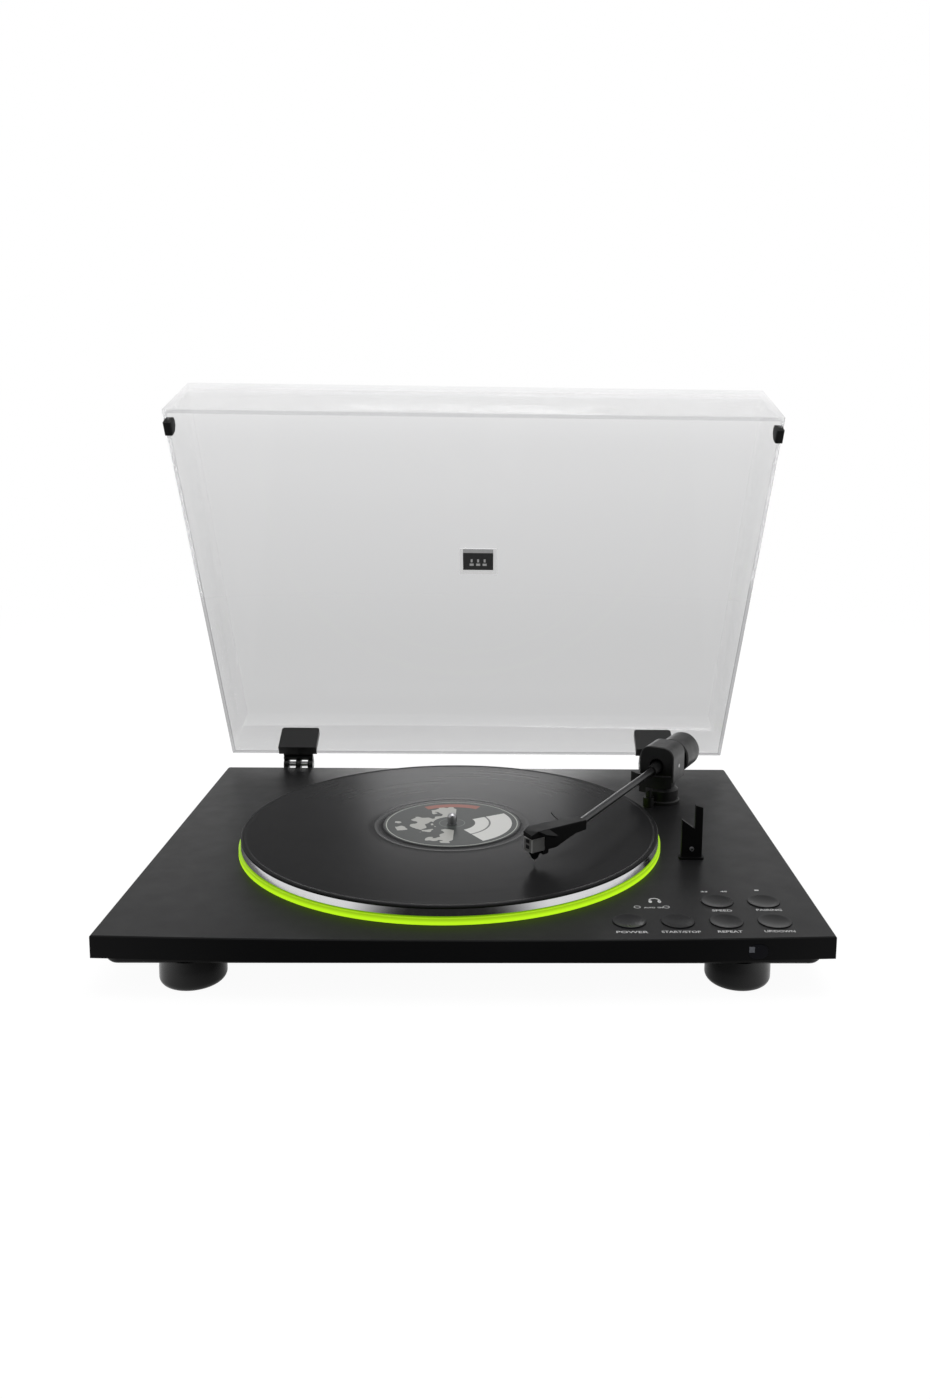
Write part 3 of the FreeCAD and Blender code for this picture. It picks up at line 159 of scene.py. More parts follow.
# Corners of a box, by place in its eight vertices, for each face
BOX_FACES = ((3, 2, 1, 0), (4, 5, 6, 7), (0, 1, 5, 4), (1, 2, 6, 5), (2, 3, 7, 6), (3, 0, 4, 7))

# Painted light and shade on the clear cover at rest: height and share of its colour, mostly
# lighter towards the top
COVER_PAINTED_SHADING = ((0.045, 0.86), (0.07, 0.64), (0.10, 0.69), (0.15, 0.69), (0.2, 0.745),
               (0.27, 0.81), (0.32, 0.87), (0.345, 0.92), (0.36, 1.15), (0.38, 1.17))

# Light of the studio: what reflections see in front, and what falls on matt surfaces
ROOM_DARK = 0.02
ROOM_FILL = 0.42
ROOM_TURN = (-0.92, -0.6)
FLOOR_TONE = 0.1
FLOOR_LIGHT = 0.95
FLOOR_FADE = (0.45, 1.6)
LAMP_TARGET = (0.0, 0.0, 0.05)

# The camera: place from the front and deck, turn in degrees, lens and shift
CAMERA_PLACE = (0.01744, FRONT - 0.63602, DECK + 0.29091)
CAMERA_TURN = (1.496, 8.342, 0.732)
CAMERA_LENS = 0.81104
CAMERA_SHIFT = (-0.04504, -0.0668)
CAMERA_SENSOR = 24.0


# ---- Sizes and colours that a user would change ----
def length(name, description, default, top=1.0):
    """A length in metres."""
    return bpy.props.FloatProperty(name=name, description=description, default=default,
                                   min=0.0, max=top, precision=5, unit="LENGTH")


def colour(name, description, default):
    """A linear colour."""
    return bpy.props.FloatVectorProperty(name=name, description=description, default=default,
                                         size=3, min=0.0, max=1.0, subtype="COLOR")


class PlayerSizes(bpy.types.PropertyGroup):
    """Sizes of the fine detail."""

    legend_height: length("Legend height", "Height of the capitals under the buttons", 2.9 * MM)
    legend_depth: length("Legend depth", "Thickness of the printed ink", 0.03 * MM)
    groove_pitch: length("Groove pitch", "Distance between the modelled groove ridges", 0.9 * MM)
    groove_depth: length("Groove depth", "Height of the modelled groove ridges", 0.006 * MM)
    cover_edge: length("Cover edge", "Rounding of the cover's edges", 0.45 * MM)


class PlayerColours(bpy.types.PropertyGroup):
    """Colours of the finishes."""

    case: colour("Case", "Paint of the housing", (0.0118, 0.0118, 0.0123))
    plastic: colour("Plastic", "Moulded black pieces", (0.0024, 0.0024, 0.0025))
    satin: colour("Satin", "Tonearm housing and weight", (0.005, 0.005, 0.0052))
    vinyl: colour("Vinyl", "The record", (0.016, 0.016, 0.0165))
    glow: colour("Glow", "Light from the ring", (0.47, 0.84, 0.014))
    print: colour("Print", "Legends on the deck", (0.62, 0.62, 0.62))
    cover: colour("Cover", "Tint of the clear cover", (0.80, 0.80, 0.805))


def sizes():
    return bpy.context.scene.player_sizes


def colours():
    return bpy.context.scene.player_colours


# ---- Node helpers ----
def feed(tree, socket, value):
    """Links an output to a socket, or sets the socket to a constant."""
    if isinstance(value, bpy.types.NodeSocket):
        tree.links.new(value, socket)
    else:
        socket.default_value = value


def node(tree, kind, inputs=(), **values):
    """Adds a node, sets its plain properties and feeds its inputs."""
    added = tree.nodes.new(kind)
    for key, value in values.items():
        setattr(added, key, value)
    for label, value in dict(inputs).items():
        feed(tree, added.inputs[label], value)
    return added


def calc(tree, operation, *values):
    """A maths node over numbers or sockets."""
    return node(tree, "ShaderNodeMath", enumerate(values), operation=operation).outputs[0]


def principled(name, tone, roughness, specular=0.5, metallic=0.0):
    """A material with one Principled shader, its fixed numbers set on the shader itself."""
    material = bpy.data.materials.new(name)
    material.use_nodes = True
    shader = material.node_tree.nodes["Principled BSDF"]
    for label, value in (("Base Color", (*tone, 1.0)), ("Roughness", roughness),
                         ("Specular IOR Level", specular), ("Metallic", metallic)):
        shader.inputs[label].default_value = value
    return material, material.node_tree, shader


def place(tree):
    """The point on the piece, in the piece's own frame."""
    found = tree.nodes.get("Place")
    if found is None:
        found = node(tree, "ShaderNodeTexCoord", name="Place")
    return found.outputs["Object"]


def from_spindle(tree):
    """The point on the piece, measured from the spindle's axis."""
    return node(tree, "ShaderNodeMapping",
                {"Vector": place(tree), "Location": (-SPINDLE.x, -SPINDLE.y, 0.0)}).outputs[0]


def noise(tree, scale, detail=3.0, roughness=0.55):
    """A noise value over the piece."""
    return node(tree, "ShaderNodeTexNoise",
                {"Scale": scale, "Detail": detail, "Roughness": roughness,
                 "Vector": place(tree)}).outputs["Fac"]


def mapped(tree, value, source, target=(0.0, 1.0), kind="LINEAR"):
    """Maps one range of a value onto another, and holds it there."""
    return node(tree, "ShaderNodeMapRange",
                {"Value": value, "From Min": source[0], "From Max": source[1],
                 "To Min": target[0], "To Max": target[1]},
                interpolation_type=kind).outputs["Result"]


def spread(tree, value, start, end):
    """Maps the middle of a noise value onto start to end."""
    return mapped(tree, value, (0.3, 0.7), (start, end))


def axes(tree, vector):
    """The X, Y and Z outputs of a vector."""
    return node(tree, "ShaderNodeSeparateXYZ", {0: vector}).outputs


def measure(tree, vector):
    """The length of a vector."""
    return node(tree, "ShaderNodeVectorMath", {0: vector}, operation="LENGTH").outputs["Value"]


def finish_with(tree, output):
    """Sends a shader to the material's surface."""
    tree.links.new(output, tree.nodes["Material Output"].inputs["Surface"])


def blend_tones(tree, value, first, second):
    """Mixes two colours by a value; the first is numbers or a socket."""
    if isinstance(first, (tuple, list)):
        first = (*first, 1.0)
    return node(tree, "ShaderNodeMix", {"Factor": value, "A": first, "B": (*second, 1.0)},
                data_type="RGBA").outputs["Result"]


def bump(tree, shader, height, distance, strength=1.0):
    """Bumps from a height value."""
    raised = node(tree, "ShaderNodeBump",
                  {"Strength": strength, "Distance": distance, "Height": height})
    tree.links.new(raised.outputs["Normal"], shader.inputs["Normal"])


def grain(tree, shader, scale, height, detail=3.0):
    """Fine bumps over the surface."""
    bump(tree, shader, noise(tree, scale, detail), height)


def worn(tree, shader, tone, scale, share=0.25):
    """Slight, slow changes of the colour."""
    darker = [part * (1 - share) for part in tone]
    lighter = [part * (1 + share) for part in tone]
    mixed = blend_tones(tree, spread(tree, noise(tree, scale), 0.0, 1.0), darker, lighter)
    tree.links.new(mixed, shader.inputs["Base Color"])


def uneven(tree, shader, start, end, scale, detail=4.0):
    """Roughness that wanders between two values."""
    value = noise(tree, scale, detail)
    tree.links.new(spread(tree, value, start, end), shader.inputs["Roughness"])


# ---- Finishes ----
def coat(name, tone, roughness, specular, mottle, metallic=0.0, gloss=(), texture=()):
    """A plain finish.

    mottle is the scale and share of tone changes, gloss the two ends and scale of the
    roughness, texture the scale, height and detail of fine bumps.
    """
    material, tree, shader = principled(name, tone, roughness, specular, metallic)
    worn(tree, shader, tone, *mottle)
    if gloss:
        uneven(tree, shader, *gloss)
    if texture:
        grain(tree, shader, *texture)
    return material


def plastic_finish(name="moulded_black", roughness=(0.42, 0.52), scale=1800.0, specular=0.3):
    """Moulded black plastic."""
    return coat(name, tuple(colours().plastic), 0.45, specular, (40.0, 0.15),
                gloss=(*roughness, 90.0), texture=(scale, 0.00002, 2.0))


def satin_finish():
    """Satin dark grey plastic of the tonearm's housing, weight and hinges."""
    return coat("satin_grey", tuple(colours().satin), 0.4, 0.38, (60.0, 0.1),
                gloss=(0.34, 0.44, 120.0), texture=(2400.0, 0.00002, 2.0))


def rubber_finish():
    return coat("rubber", (0.012, 0.012, 0.012), 0.8, 0.3, (80.0, 0.2),
                texture=(900.0, 0.00004))


def steel_finish():
    return coat("plain_steel", (0.42, 0.42, 0.43), 0.35, 0.5, (120.0, 0.12), 1.0,
                (0.28, 0.42, 300.0))


def platter_finish():
    """Bare aluminium with fine turning marks round the spindle."""
    material, tree, shader = principled("spun_aluminium", (0.66, 0.66, 0.67), 0.16, 0.5, 1.0)
    rings = node(tree, "ShaderNodeTexWave",
                 {"Vector": from_spindle(tree), "Distortion": 0.4, "Detail": 2.0,
                  "Scale": 0.31 / (TURNING_PITCH * 2 * pi)},
                 wave_type="RINGS", rings_direction="Z")
    bump(tree, shader, rings.outputs["Fac"], 0.00002, 0.25)
    uneven(tree, shader, 0.136, 0.192, 200.0, 3.0)
    return material


def vinyl_finish():
    """Pressed vinyl: black with the sheen of very fine grooves."""
    tone = tuple(colours().vinyl)
    material, tree, shader = principled("pressed_vinyl", tone, 0.24, 0.016)
    shader.inputs["Anisotropic"].default_value = 0.3
    worn(tree, shader, tone, 12.0, 0.1)
    from_middle = node(tree, "ShaderNodeVectorMath",
                       {0: place(tree), 1: (SPINDLE.x, SPINDLE.y, 0.0)}, operation="SUBTRACT")
    along = node(tree, "ShaderNodeVectorMath", {0: (0.0, 0.0, 1.0), 1: from_middle.outputs[0]},
                 operation="CROSS_PRODUCT")
    turned_with = node(tree, "ShaderNodeVectorTransform", {0: along.outputs[0]},
                       vector_type="VECTOR", convert_from="OBJECT", convert_to="WORLD")
    tree.links.new(turned_with.outputs[0], shader.inputs["Tangent"])
    rings = node(tree, "ShaderNodeTexNoise",
                 {"Scale": 260.0, "Detail": 4.0, "W": measure(tree, along.outputs[0])},
                 noise_dimensions="1D")
    tree.links.new(spread(tree, rings.outputs["Fac"], 0.22, 0.27), shader.inputs["Roughness"])
    return material


def label_finish():
    """Printed paper: a dark ground with a pale edge line, a cream arc and a dull red arc."""
    ground = (0.03, 0.034, 0.032)
    material, tree, shader = principled("printed_paper", ground, 0.5, 0.2)
    spot = axes(tree, from_spindle(tree))
    flat = node(tree, "ShaderNodeCombineXYZ", {"X": spot["X"], "Y": spot["Y"]})
    angle = calc(tree, "ARCTAN2", spot["Y"], spot["X"])
    radius = measure(tree, flat.outputs[0])
    printed = blend_tones(tree, noise(tree, 300.0), tuple(0.8 * part for part in ground),
                          tuple(1.2 * part for part in ground))
    cloud = calc(tree, "MULTIPLY", band(tree, radius, 14.0 * MM, 42.0 * MM),
                 calc(tree, "LESS_THAN", spot["X"], 2.0 * MM))
    cloud = calc(tree, "MULTIPLY", cloud, calc(tree, "GREATER_THAN",
                                               noise(tree, 70.0, 1.5), 0.53))
    printed = blend_tones(tree, cloud, printed, (0.4, 0.4, 0.375))
    for tone, inner, outer, start, end in LABEL_MARKS:
        inside = band(tree, radius, inner * MM, outer * MM)
        if start is not None:
            inside = calc(tree, "MULTIPLY", inside,
                          band(tree, angle, radians(start), radians(end)))
        printed = blend_tones(tree, inside, printed, tone)
    tree.links.new(printed, shader.inputs["Base Color"])
    grain(tree, shader, 1500.0, 0.00001)
    return material


def band(tree, value, start, end):
    """1 where a value lies between two limits, 0 elsewhere."""
    return calc(tree, "MULTIPLY", calc(tree, "GREATER_THAN", value, start),
                calc(tree, "LESS_THAN", value, end))


def paper_finish(name, tone):
    """Printed label paper, or thick pale plastic."""
    return coat(name, tone, 0.55, 0.3, (160.0, 0.08), texture=(1500.0, 0.00001))


def ink_finish(name, tone, through=0.0):
    """Ink or thin plastic; through gives it a painted glow, emission in its own colour."""
    material, tree, shader = principled(name, tone, 0.5, 0.3)
    worn(tree, shader, tone, 400.0, 0.1)
    shader.inputs["Emission Color"].default_value = (*tone, 1.0)
    shader.inputs["Emission Strength"].default_value = through
    return material


def glow_finish():
    """The lit translucent ring: brightest low on its outer wall, dimmer on its top."""
    tone = tuple(colours().glow)
    material, tree, shader = principled("lit_ring", tone, 0.4, 0.2)
    worn(tree, shader, tone, 30.0, 0.06)
    shader.inputs["Emission Color"].default_value = (*tone, 1.0)
    rise = mapped(tree, axes(tree, place(tree))["Z"],
                  (DECK + 1.5 * MM, high("light_ring").z), (0.85, 0.2))
    tree.links.new(rise, shader.inputs["Emission Strength"])
    return material


def clear_finish(name, tone, stops=(), bend=0.22, roughness=0.0):
    """Clear acrylic: mostly straight through, a share bent and mirrored as a solid block's.

    The tint can change with height, through (metres, share) stops; on the cover these stops paint
    its light and shade.
    """
    material, tree, shader = principled(name, tone, roughness, 0.5)
    shader.inputs["Transmission Weight"].default_value = 1.0
    shader.inputs["IOR"].default_value = 1.49
    passing = node(tree, "ShaderNodeBsdfTransparent", {"Color": (*tone, 1.0)})
    if stops:
        tint = height_tones(tree, tone, stops)
        tree.links.new(tint, shader.inputs["Base Color"])
        tree.links.new(tint, passing.inputs["Color"])
    facing = node(tree, "ShaderNodeLayerWeight", {"Blend": 0.3})
    share = calc(tree, "MULTIPLY_ADD", facing.outputs["Facing"], bend, bend * 0.5)
    path = node(tree, "ShaderNodeLightPath")
    lit = calc(tree, "SUBTRACT", 1.0, path.outputs["Is Shadow Ray"])
    mix = node(tree, "ShaderNodeMixShader", {"Fac": calc(tree, "MULTIPLY", share, lit),
                                             1: passing.outputs["BSDF"],
                                             2: shader.outputs["BSDF"]})
    finish_with(tree, mix.outputs["Shader"])
    return material


def height_tones(tree, tone, stops):
    """A tone that changes with height on the piece, through (metres, share) stops."""
    bottom, top = stops[0][0], stops[-1][0]
    ramp = node(tree, "ShaderNodeValToRGB")
    ramp.color_ramp.interpolation = "B_SPLINE"
    marks = ramp.color_ramp.elements
    while len(marks) < len(stops):
        marks.new(0.5)
    for mark, (height, share) in zip(marks, stops):
        mark.position = (height - bottom) / (top - bottom)
        mark.color = (*(part * share for part in tone), 1.0)
    tree.links.new(mapped(tree, axes(tree, place(tree))["Z"], (bottom, top)), ramp.inputs["Fac"])
    return ramp.outputs["Color"]


# ---- Mesh helpers ----
def linked(name, data):
    """A new object in the scene."""
    added = bpy.data.objects.new(name, data)
    bpy.context.scene.collection.objects.link(added)
    return added


def baked(holder):
    """The evaluated mesh of an object, which is then deleted."""
    graph = bpy.context.evaluated_depsgraph_get()
    mesh = bpy.data.meshes.new_from_object(holder.evaluated_get(graph))
    bpy.data.objects.remove(holder)
    return mesh


def add_piece(name, mesh, materials, body, stands_for=(), angle=35.0):
    """Links a finished mesh as a piece that moves with a body."""
    piece = linked(name, mesh)
    if not mesh.materials:
        for material in materials:
            mesh.materials.append(material)
    mesh.polygons.foreach_set("use_smooth", [True] * len(mesh.polygons))
    mesh.set_sharp_from_angle(angle=radians(angle))
    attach(piece, body)
    if stands_for:
        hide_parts(*stands_for)
    return piece


def mesh_from(build, weld=True, mesh=None):
    """Runs a function that fills a bmesh, turns its faces outwards and returns the mesh."""
    work = bmesh.new()
    build(work)
    if weld:
        bmesh.ops.remove_doubles(work, verts=work.verts, dist=WELD)
    bmesh.ops.recalc_face_normals(work, faces=work.faces)
    if mesh is None:
        mesh = bpy.data.meshes.new("piece")
    work.to_mesh(mesh)
    work.free()
    return mesh


def box(work, start, end, finish=0, placed=Vector):
    """A box between two corners, each vertex sent through a function; returns its faces."""
    corners = [work.verts.new(placed(Vector((x, y, z)))) for z in (start.z, end.z)
               for x, y in ((start.x, start.y), (end.x, start.y), (end.x, end.y),
                            (start.x, end.y))]
    faces = [work.faces.new([corners[spot] for spot in order]) for order in BOX_FACES]
    for face in faces:
        face.material_index = finish
    return faces


def edges_of(faces):
    """The edges of some faces, each once."""
    return list({edge for face in faces for edge in face.edges})


def round_edges(work, edges, offset, segments=2, profile=0.5, finish=-1):
    bmesh.ops.bevel(work, geom=edges, offset=offset, segments=segments, profile=profile,
                    affect="EDGES", material=finish)


def join_rings(work, first, second):
    """Faces between two rings of vertices."""
    count = len(first)
    return [work.faces.new((first[step], first[(step + 1) % count],
                            second[(step + 1) % count], second[step]))
            for step in range(count)]


# ---- Geometry trees ----
def new_tree(name, inputs):
    """A geometry tree with a mesh input, named inputs and a mesh output."""
    tree = bpy.data.node_groups.new(name, "GeometryNodeTree")
    for label, kind, value in (("Geometry", "Geometry", None), *inputs):
        socket = tree.interface.new_socket(label, in_out="INPUT",
                                           socket_type="NodeSocket" + kind)
        if value is not None:
            socket.default_value = value
    tree.interface.new_socket("Geometry", in_out="OUTPUT", socket_type="NodeSocketGeometry")
    return tree, node(tree, "NodeGroupInput").outputs


def close_tree(tree, entry, geometry, angle=30.0):
    """Real geometry, smooth except at creases, in the given material."""
    real = node(tree, "GeometryNodeRealizeInstances", {"Geometry": geometry})
    paint = node(tree, "GeometryNodeSetMaterial",
                 {"Geometry": crease(tree, real.outputs[0], angle),
                  "Material": entry["Material"]})
    node(tree, "NodeGroupOutput", {0: paint.outputs[0]})


def crease(tree, geometry, angle):
    """Smooth faces, with the edges that turn by more than the angle kept sharp."""
    smooth = node(tree, "GeometryNodeSetShadeSmooth", {"Geometry": geometry}, domain="FACE")
    turn = node(tree, "GeometryNodeInputMeshEdgeAngle").outputs["Unsigned Angle"]
    over = node(tree, "FunctionNodeCompare", {"A": turn, "B": radians(angle)},
                data_type="FLOAT", operation="GREATER_THAN")
    return node(tree, "GeometryNodeSetShadeSmooth",
                {"Geometry": smooth.outputs[0], "Selection": over.outputs["Result"],
                 "Shade Smooth": False}, domain="EDGE").outputs[0]


def grow(base, tree, values):
    """Runs a geometry tree over a base mesh and returns the plain mesh, mended."""
    holder = linked("holder", base)
    modifier = holder.modifiers.new("grow", "NODES")
    modifier.node_group = tree
    for item in tree.interface.items_tree:
        if item.in_out == "INPUT" and item.name in values:
            modifier[item.identifier] = values[item.name]
    mesh = baked(holder)
    return mesh_from(lambda work: work.from_mesh(mesh), mesh=mesh)


def soften_tree():
    """Welds a construction mesh and smooths its rounds."""
    tree, entry = new_tree("soften", ())
    weld = node(tree, "GeometryNodeMergeByDistance",
                {"Geometry": entry["Geometry"], "Distance": 0.000004})
    node(tree, "NodeGroupOutput", {0: crease(tree, weld.outputs[0], 28.0)})
    return tree


def turned_tree():
    """A solid of revolution from profile points in order, radius in x and height in z."""
    tree, entry = new_tree("turned", (("Steps", "Int", 96), ("Centre", "Vector", None),
                                      ("Material", "Material", None)))
    size = node(tree, "GeometryNodeAttributeDomainSize", {"Geometry": entry["Geometry"]},
                component="MESH").outputs["Point Count"]
    across = calc(tree, "SUBTRACT", size, 1.0)
    grid = node(tree, "GeometryNodeMeshGrid",
                {"Size X": across, "Size Y": entry["Steps"], "Vertices X": size,
                 "Vertices Y": calc(tree, "ADD", entry["Steps"], 1.0)})
    here = node(tree, "GeometryNodeInputPosition").outputs[0]
    split = axes(tree, here)
    index = calc(tree, "ROUND", calc(tree, "MULTIPLY_ADD", across, 0.5, split["X"]))
    share = calc(tree, "DIVIDE", split["Y"], entry["Steps"])
    angle = calc(tree, "MULTIPLY", calc(tree, "ADD", share, 0.5), 2 * pi)
    found = node(tree, "GeometryNodeSampleIndex",
                 {"Geometry": entry["Geometry"], "Value": here, "Index": index},
                 data_type="FLOAT_VECTOR", domain="POINT")
    profile = axes(tree, found.outputs["Value"])
    spot = node(tree, "ShaderNodeCombineXYZ",
                {"X": calc(tree, "MULTIPLY", profile["X"], calc(tree, "COSINE", angle)),
                 "Y": calc(tree, "MULTIPLY", profile["X"], calc(tree, "SINE", angle)),
                 "Z": profile["Z"]})
    centred = node(tree, "ShaderNodeVectorMath", {0: spot.outputs[0], 1: entry["Centre"]},
                   operation="ADD")
    move = node(tree, "GeometryNodeSetPosition",
                {"Geometry": grid.outputs["Mesh"], "Position": centred.outputs[0]})
    weld = node(tree, "GeometryNodeMergeByDistance",
                {"Geometry": move.outputs[0], "Distance": 0.000001})
    close_tree(tree, entry, weld.outputs[0], 12.0)
    return tree


def add_turned(name, points, steps, material, stands_for, angle):
    """A piece turned round the spindle: points are (radius, height) in metres, closed."""
    profile = bpy.data.meshes.new("profile")
    profile.from_pydata([(radius, 0.0, height) for radius, height in points], [], [])
    mesh = grow(profile, turned_tree(), {"Steps": steps, "Centre": (SPINDLE.x, SPINDLE.y, 0.0),
                                         "Material": material})
    add_piece(name, mesh, (), "platter", (stands_for,), angle)


# ---- Pieces ----
class PLAYER_OT_finishes(bpy.types.Operator):
    """Gives every construction piece its finish"""

    bl_idname = "player.finishes"
    bl_label = "Finishes"

    def execute(self, context):
        case, pitch_black = tuple(colours().case), tuple(colours().plastic)
        plastic, satin, steel = plastic_finish(), satin_finish(), steel_finish()
        by_slot = {
            "charcoal_case": coat("case_paint", case, 0.36, 0.08, (9.0, 0.08),
                                  gloss=(0.33, 0.4, 60.0), texture=(2600.0, 0.00002, 2.0)),
            "black_plastic": plastic,
            "satin_black": satin,
            "hinge_plastic": satin,
            "hinge_steel": steel,
            "gloss_foot": coat("foot_gloss", pitch_black, 0.25, 0.5, (50.0, 0.1),
                               gloss=(0.2, 0.3, 80.0)),
            "rubber": rubber_finish(),
            "platter_metal": platter_finish(),
            "hub_plastic": coat("pale_moulding", (0.45, 0.45, 0.42), 0.5, 0.4, (40.0, 0.06),
                                texture=(900.0, 0.00003)),
            "bearing_brass": coat("turned_brass", (0.55, 0.38, 0.14), 0.35, 0.5, (120.0, 0.1),
                                  1.0, (0.28, 0.4, 300.0)),
            "vinyl": vinyl_finish(),
            "label_paper": paper_finish("label_dark", (0.06, 0.075, 0.07)),
            "glow_ring": glow_finish(),
            "circuit_board": coat("circuit_board", (0.02, 0.12, 0.05), 0.4, 0.5, (250.0, 0.35)),
            "dark_window": coat("dark_window", (0.004, 0.004, 0.008), 0.08, 0.2, (50.0, 0.1)),
            "arm_metal": coat("dark_anodised", (0.022, 0.022, 0.023), 0.32, 0.5, (70.0, 0.1),
                              0.7, (0.28, 0.38, 200.0)),
            "smoked_clear": paper_finish("smoked_clear", (0.2, 0.2, 0.19)),
            # The height stops of this tint paint light and shade on the cover
            "clear_cover": clear_finish("clear_cover", tuple(colours().cover), COVER_PAINTED_SHADING),
            "badge": ink_finish("badge_plate", (0.035, 0.035, 0.035)),
            "socket_metal": steel,
            "socket_plastic": plastic,
        }
        caps = coat("button_cap", case, 0.3, 0.1, (60.0, 0.1), gloss=(0.26, 0.34, 120.0))
        matt = plastic_finish("matt_black", (0.5, 0.6), 1500.0, 0.12)
        by_name = dict.fromkeys(("headshell", "finger_lift", "arm_rest", "cartridge"), matt)
        by_name.update(dict.fromkeys(BUTTONS, caps))
        slots = {entry["node"]: entry["material_slot"] for entry in frame["record"]["subparts"]}
        tree = soften_tree()
        for name, piece in nodes.items():
            piece.data.materials.clear()
            piece.data.materials.append(by_name.get(name) or by_slot[slots[name]])
            piece.modifiers.new("soften", "NODES").node_group = tree
            flats = piece.modifiers.new("flats", "WEIGHTED_NORMAL")
            flats.keep_sharp = True
        return {"FINISHED"}


class PLAYER_OT_record(bpy.types.Operator):
    """The grooved record and its printed label"""

    bl_idname = "player.record"
    bl_label = "Record and label"

    def execute(self, context):
        self.add_disc()
        self.add_label()
        self.add_platter()
        return {"FINISHED"}

    def add_disc(self):
        bottom = low("vinyl_record").z
        rim, bore = half_width("vinyl_record"), BORE
        field = RECORD_TOP - 0.25 * MM
        points = [(bore, bottom), (rim - 0.9 * MM, bottom), (rim - 0.3 * MM, bottom + 0.25 * MM),
                  (rim, bottom + 0.75 * MM), (rim - 0.12 * MM, RECORD_TOP - 0.45 * MM),
                  (rim - 0.5 * MM, RECORD_TOP - 0.12 * MM), (rim - 1.2 * MM, RECORD_TOP),
                  (rim - 2.6 * MM, RECORD_TOP), (rim - 4.0 * MM, field), (rim - 6.4 * MM, field)]
        points += self.grooves(rim - 6.4 * MM, field)
        points += [(57.0 * MM, field), (56.6 * MM, field + 0.03 * MM), (56.2 * MM, field),
                   (51.6 * MM, field), (50.9 * MM, field + 0.08 * MM), (50.3 * MM, RECORD_TOP),
                   (bore, RECORD_TOP), (bore, bottom)]
        add_turned("grooved_record", points, 224, vinyl_finish(), "vinyl_record", 8.0)

    def grooves(self, start, field):
        """Ridges from the rim inwards, in bands with a smooth gap between two pieces of music."""
        pitch = sizes().groove_pitch
        points = []
        radius = start
        gaps = [start - share * (start - 62.0 * MM) for share in (0.17, 0.36, 0.55, 0.78)]
        while radius > 62.0 * MM:
            radius -= pitch
            if any(abs(radius - gap) < pitch for gap in gaps):
                continue
            points.append((radius + pitch / 2, field - sizes().groove_depth))
            points.append((radius, field))
        return points

    def add_platter(self):
        """The spun platter, its rim leaning in a little towards the top."""
        bottom, top = low("platter").z, high("platter").z
        rim, bore = half_width("platter"), BORE
        seat = low("platter_mat").z
        mat = half_width("platter_mat") + 0.3 * MM
        points = [(bore, bottom + 1.7 * MM), (rim - 13.0 * MM, bottom + 1.7 * MM),
                  (rim - 12.6 * MM, bottom), (rim - 0.5 * MM, bottom), (rim, bottom + 0.3 * MM),
                  (rim - 0.55 * MM, bottom + 2.4 * MM), (rim - 1.2 * MM, top - 0.25 * MM),
                  (rim - 1.5 * MM, top), (mat, top), (mat, seat), (bore, seat),
                  (bore, bottom + 1.7 * MM)]
        add_turned("spun_platter", points, 256, platter_finish(), "platter",
                   25.0)

    def add_label(self):
        radius, bore = half_width("record_label"), BORE
        top = high("record_label").z
        points = [(bore, RECORD_TOP), (radius, RECORD_TOP), (radius, top - 0.05 * MM),
                  (radius - 0.1 * MM, top), (bore + 0.1 * MM, top), (bore, top - 0.05 * MM),
                  (bore, RECORD_TOP)]
        add_turned("printed_label", points, 128, label_finish(), "record_label",
                   20.0)


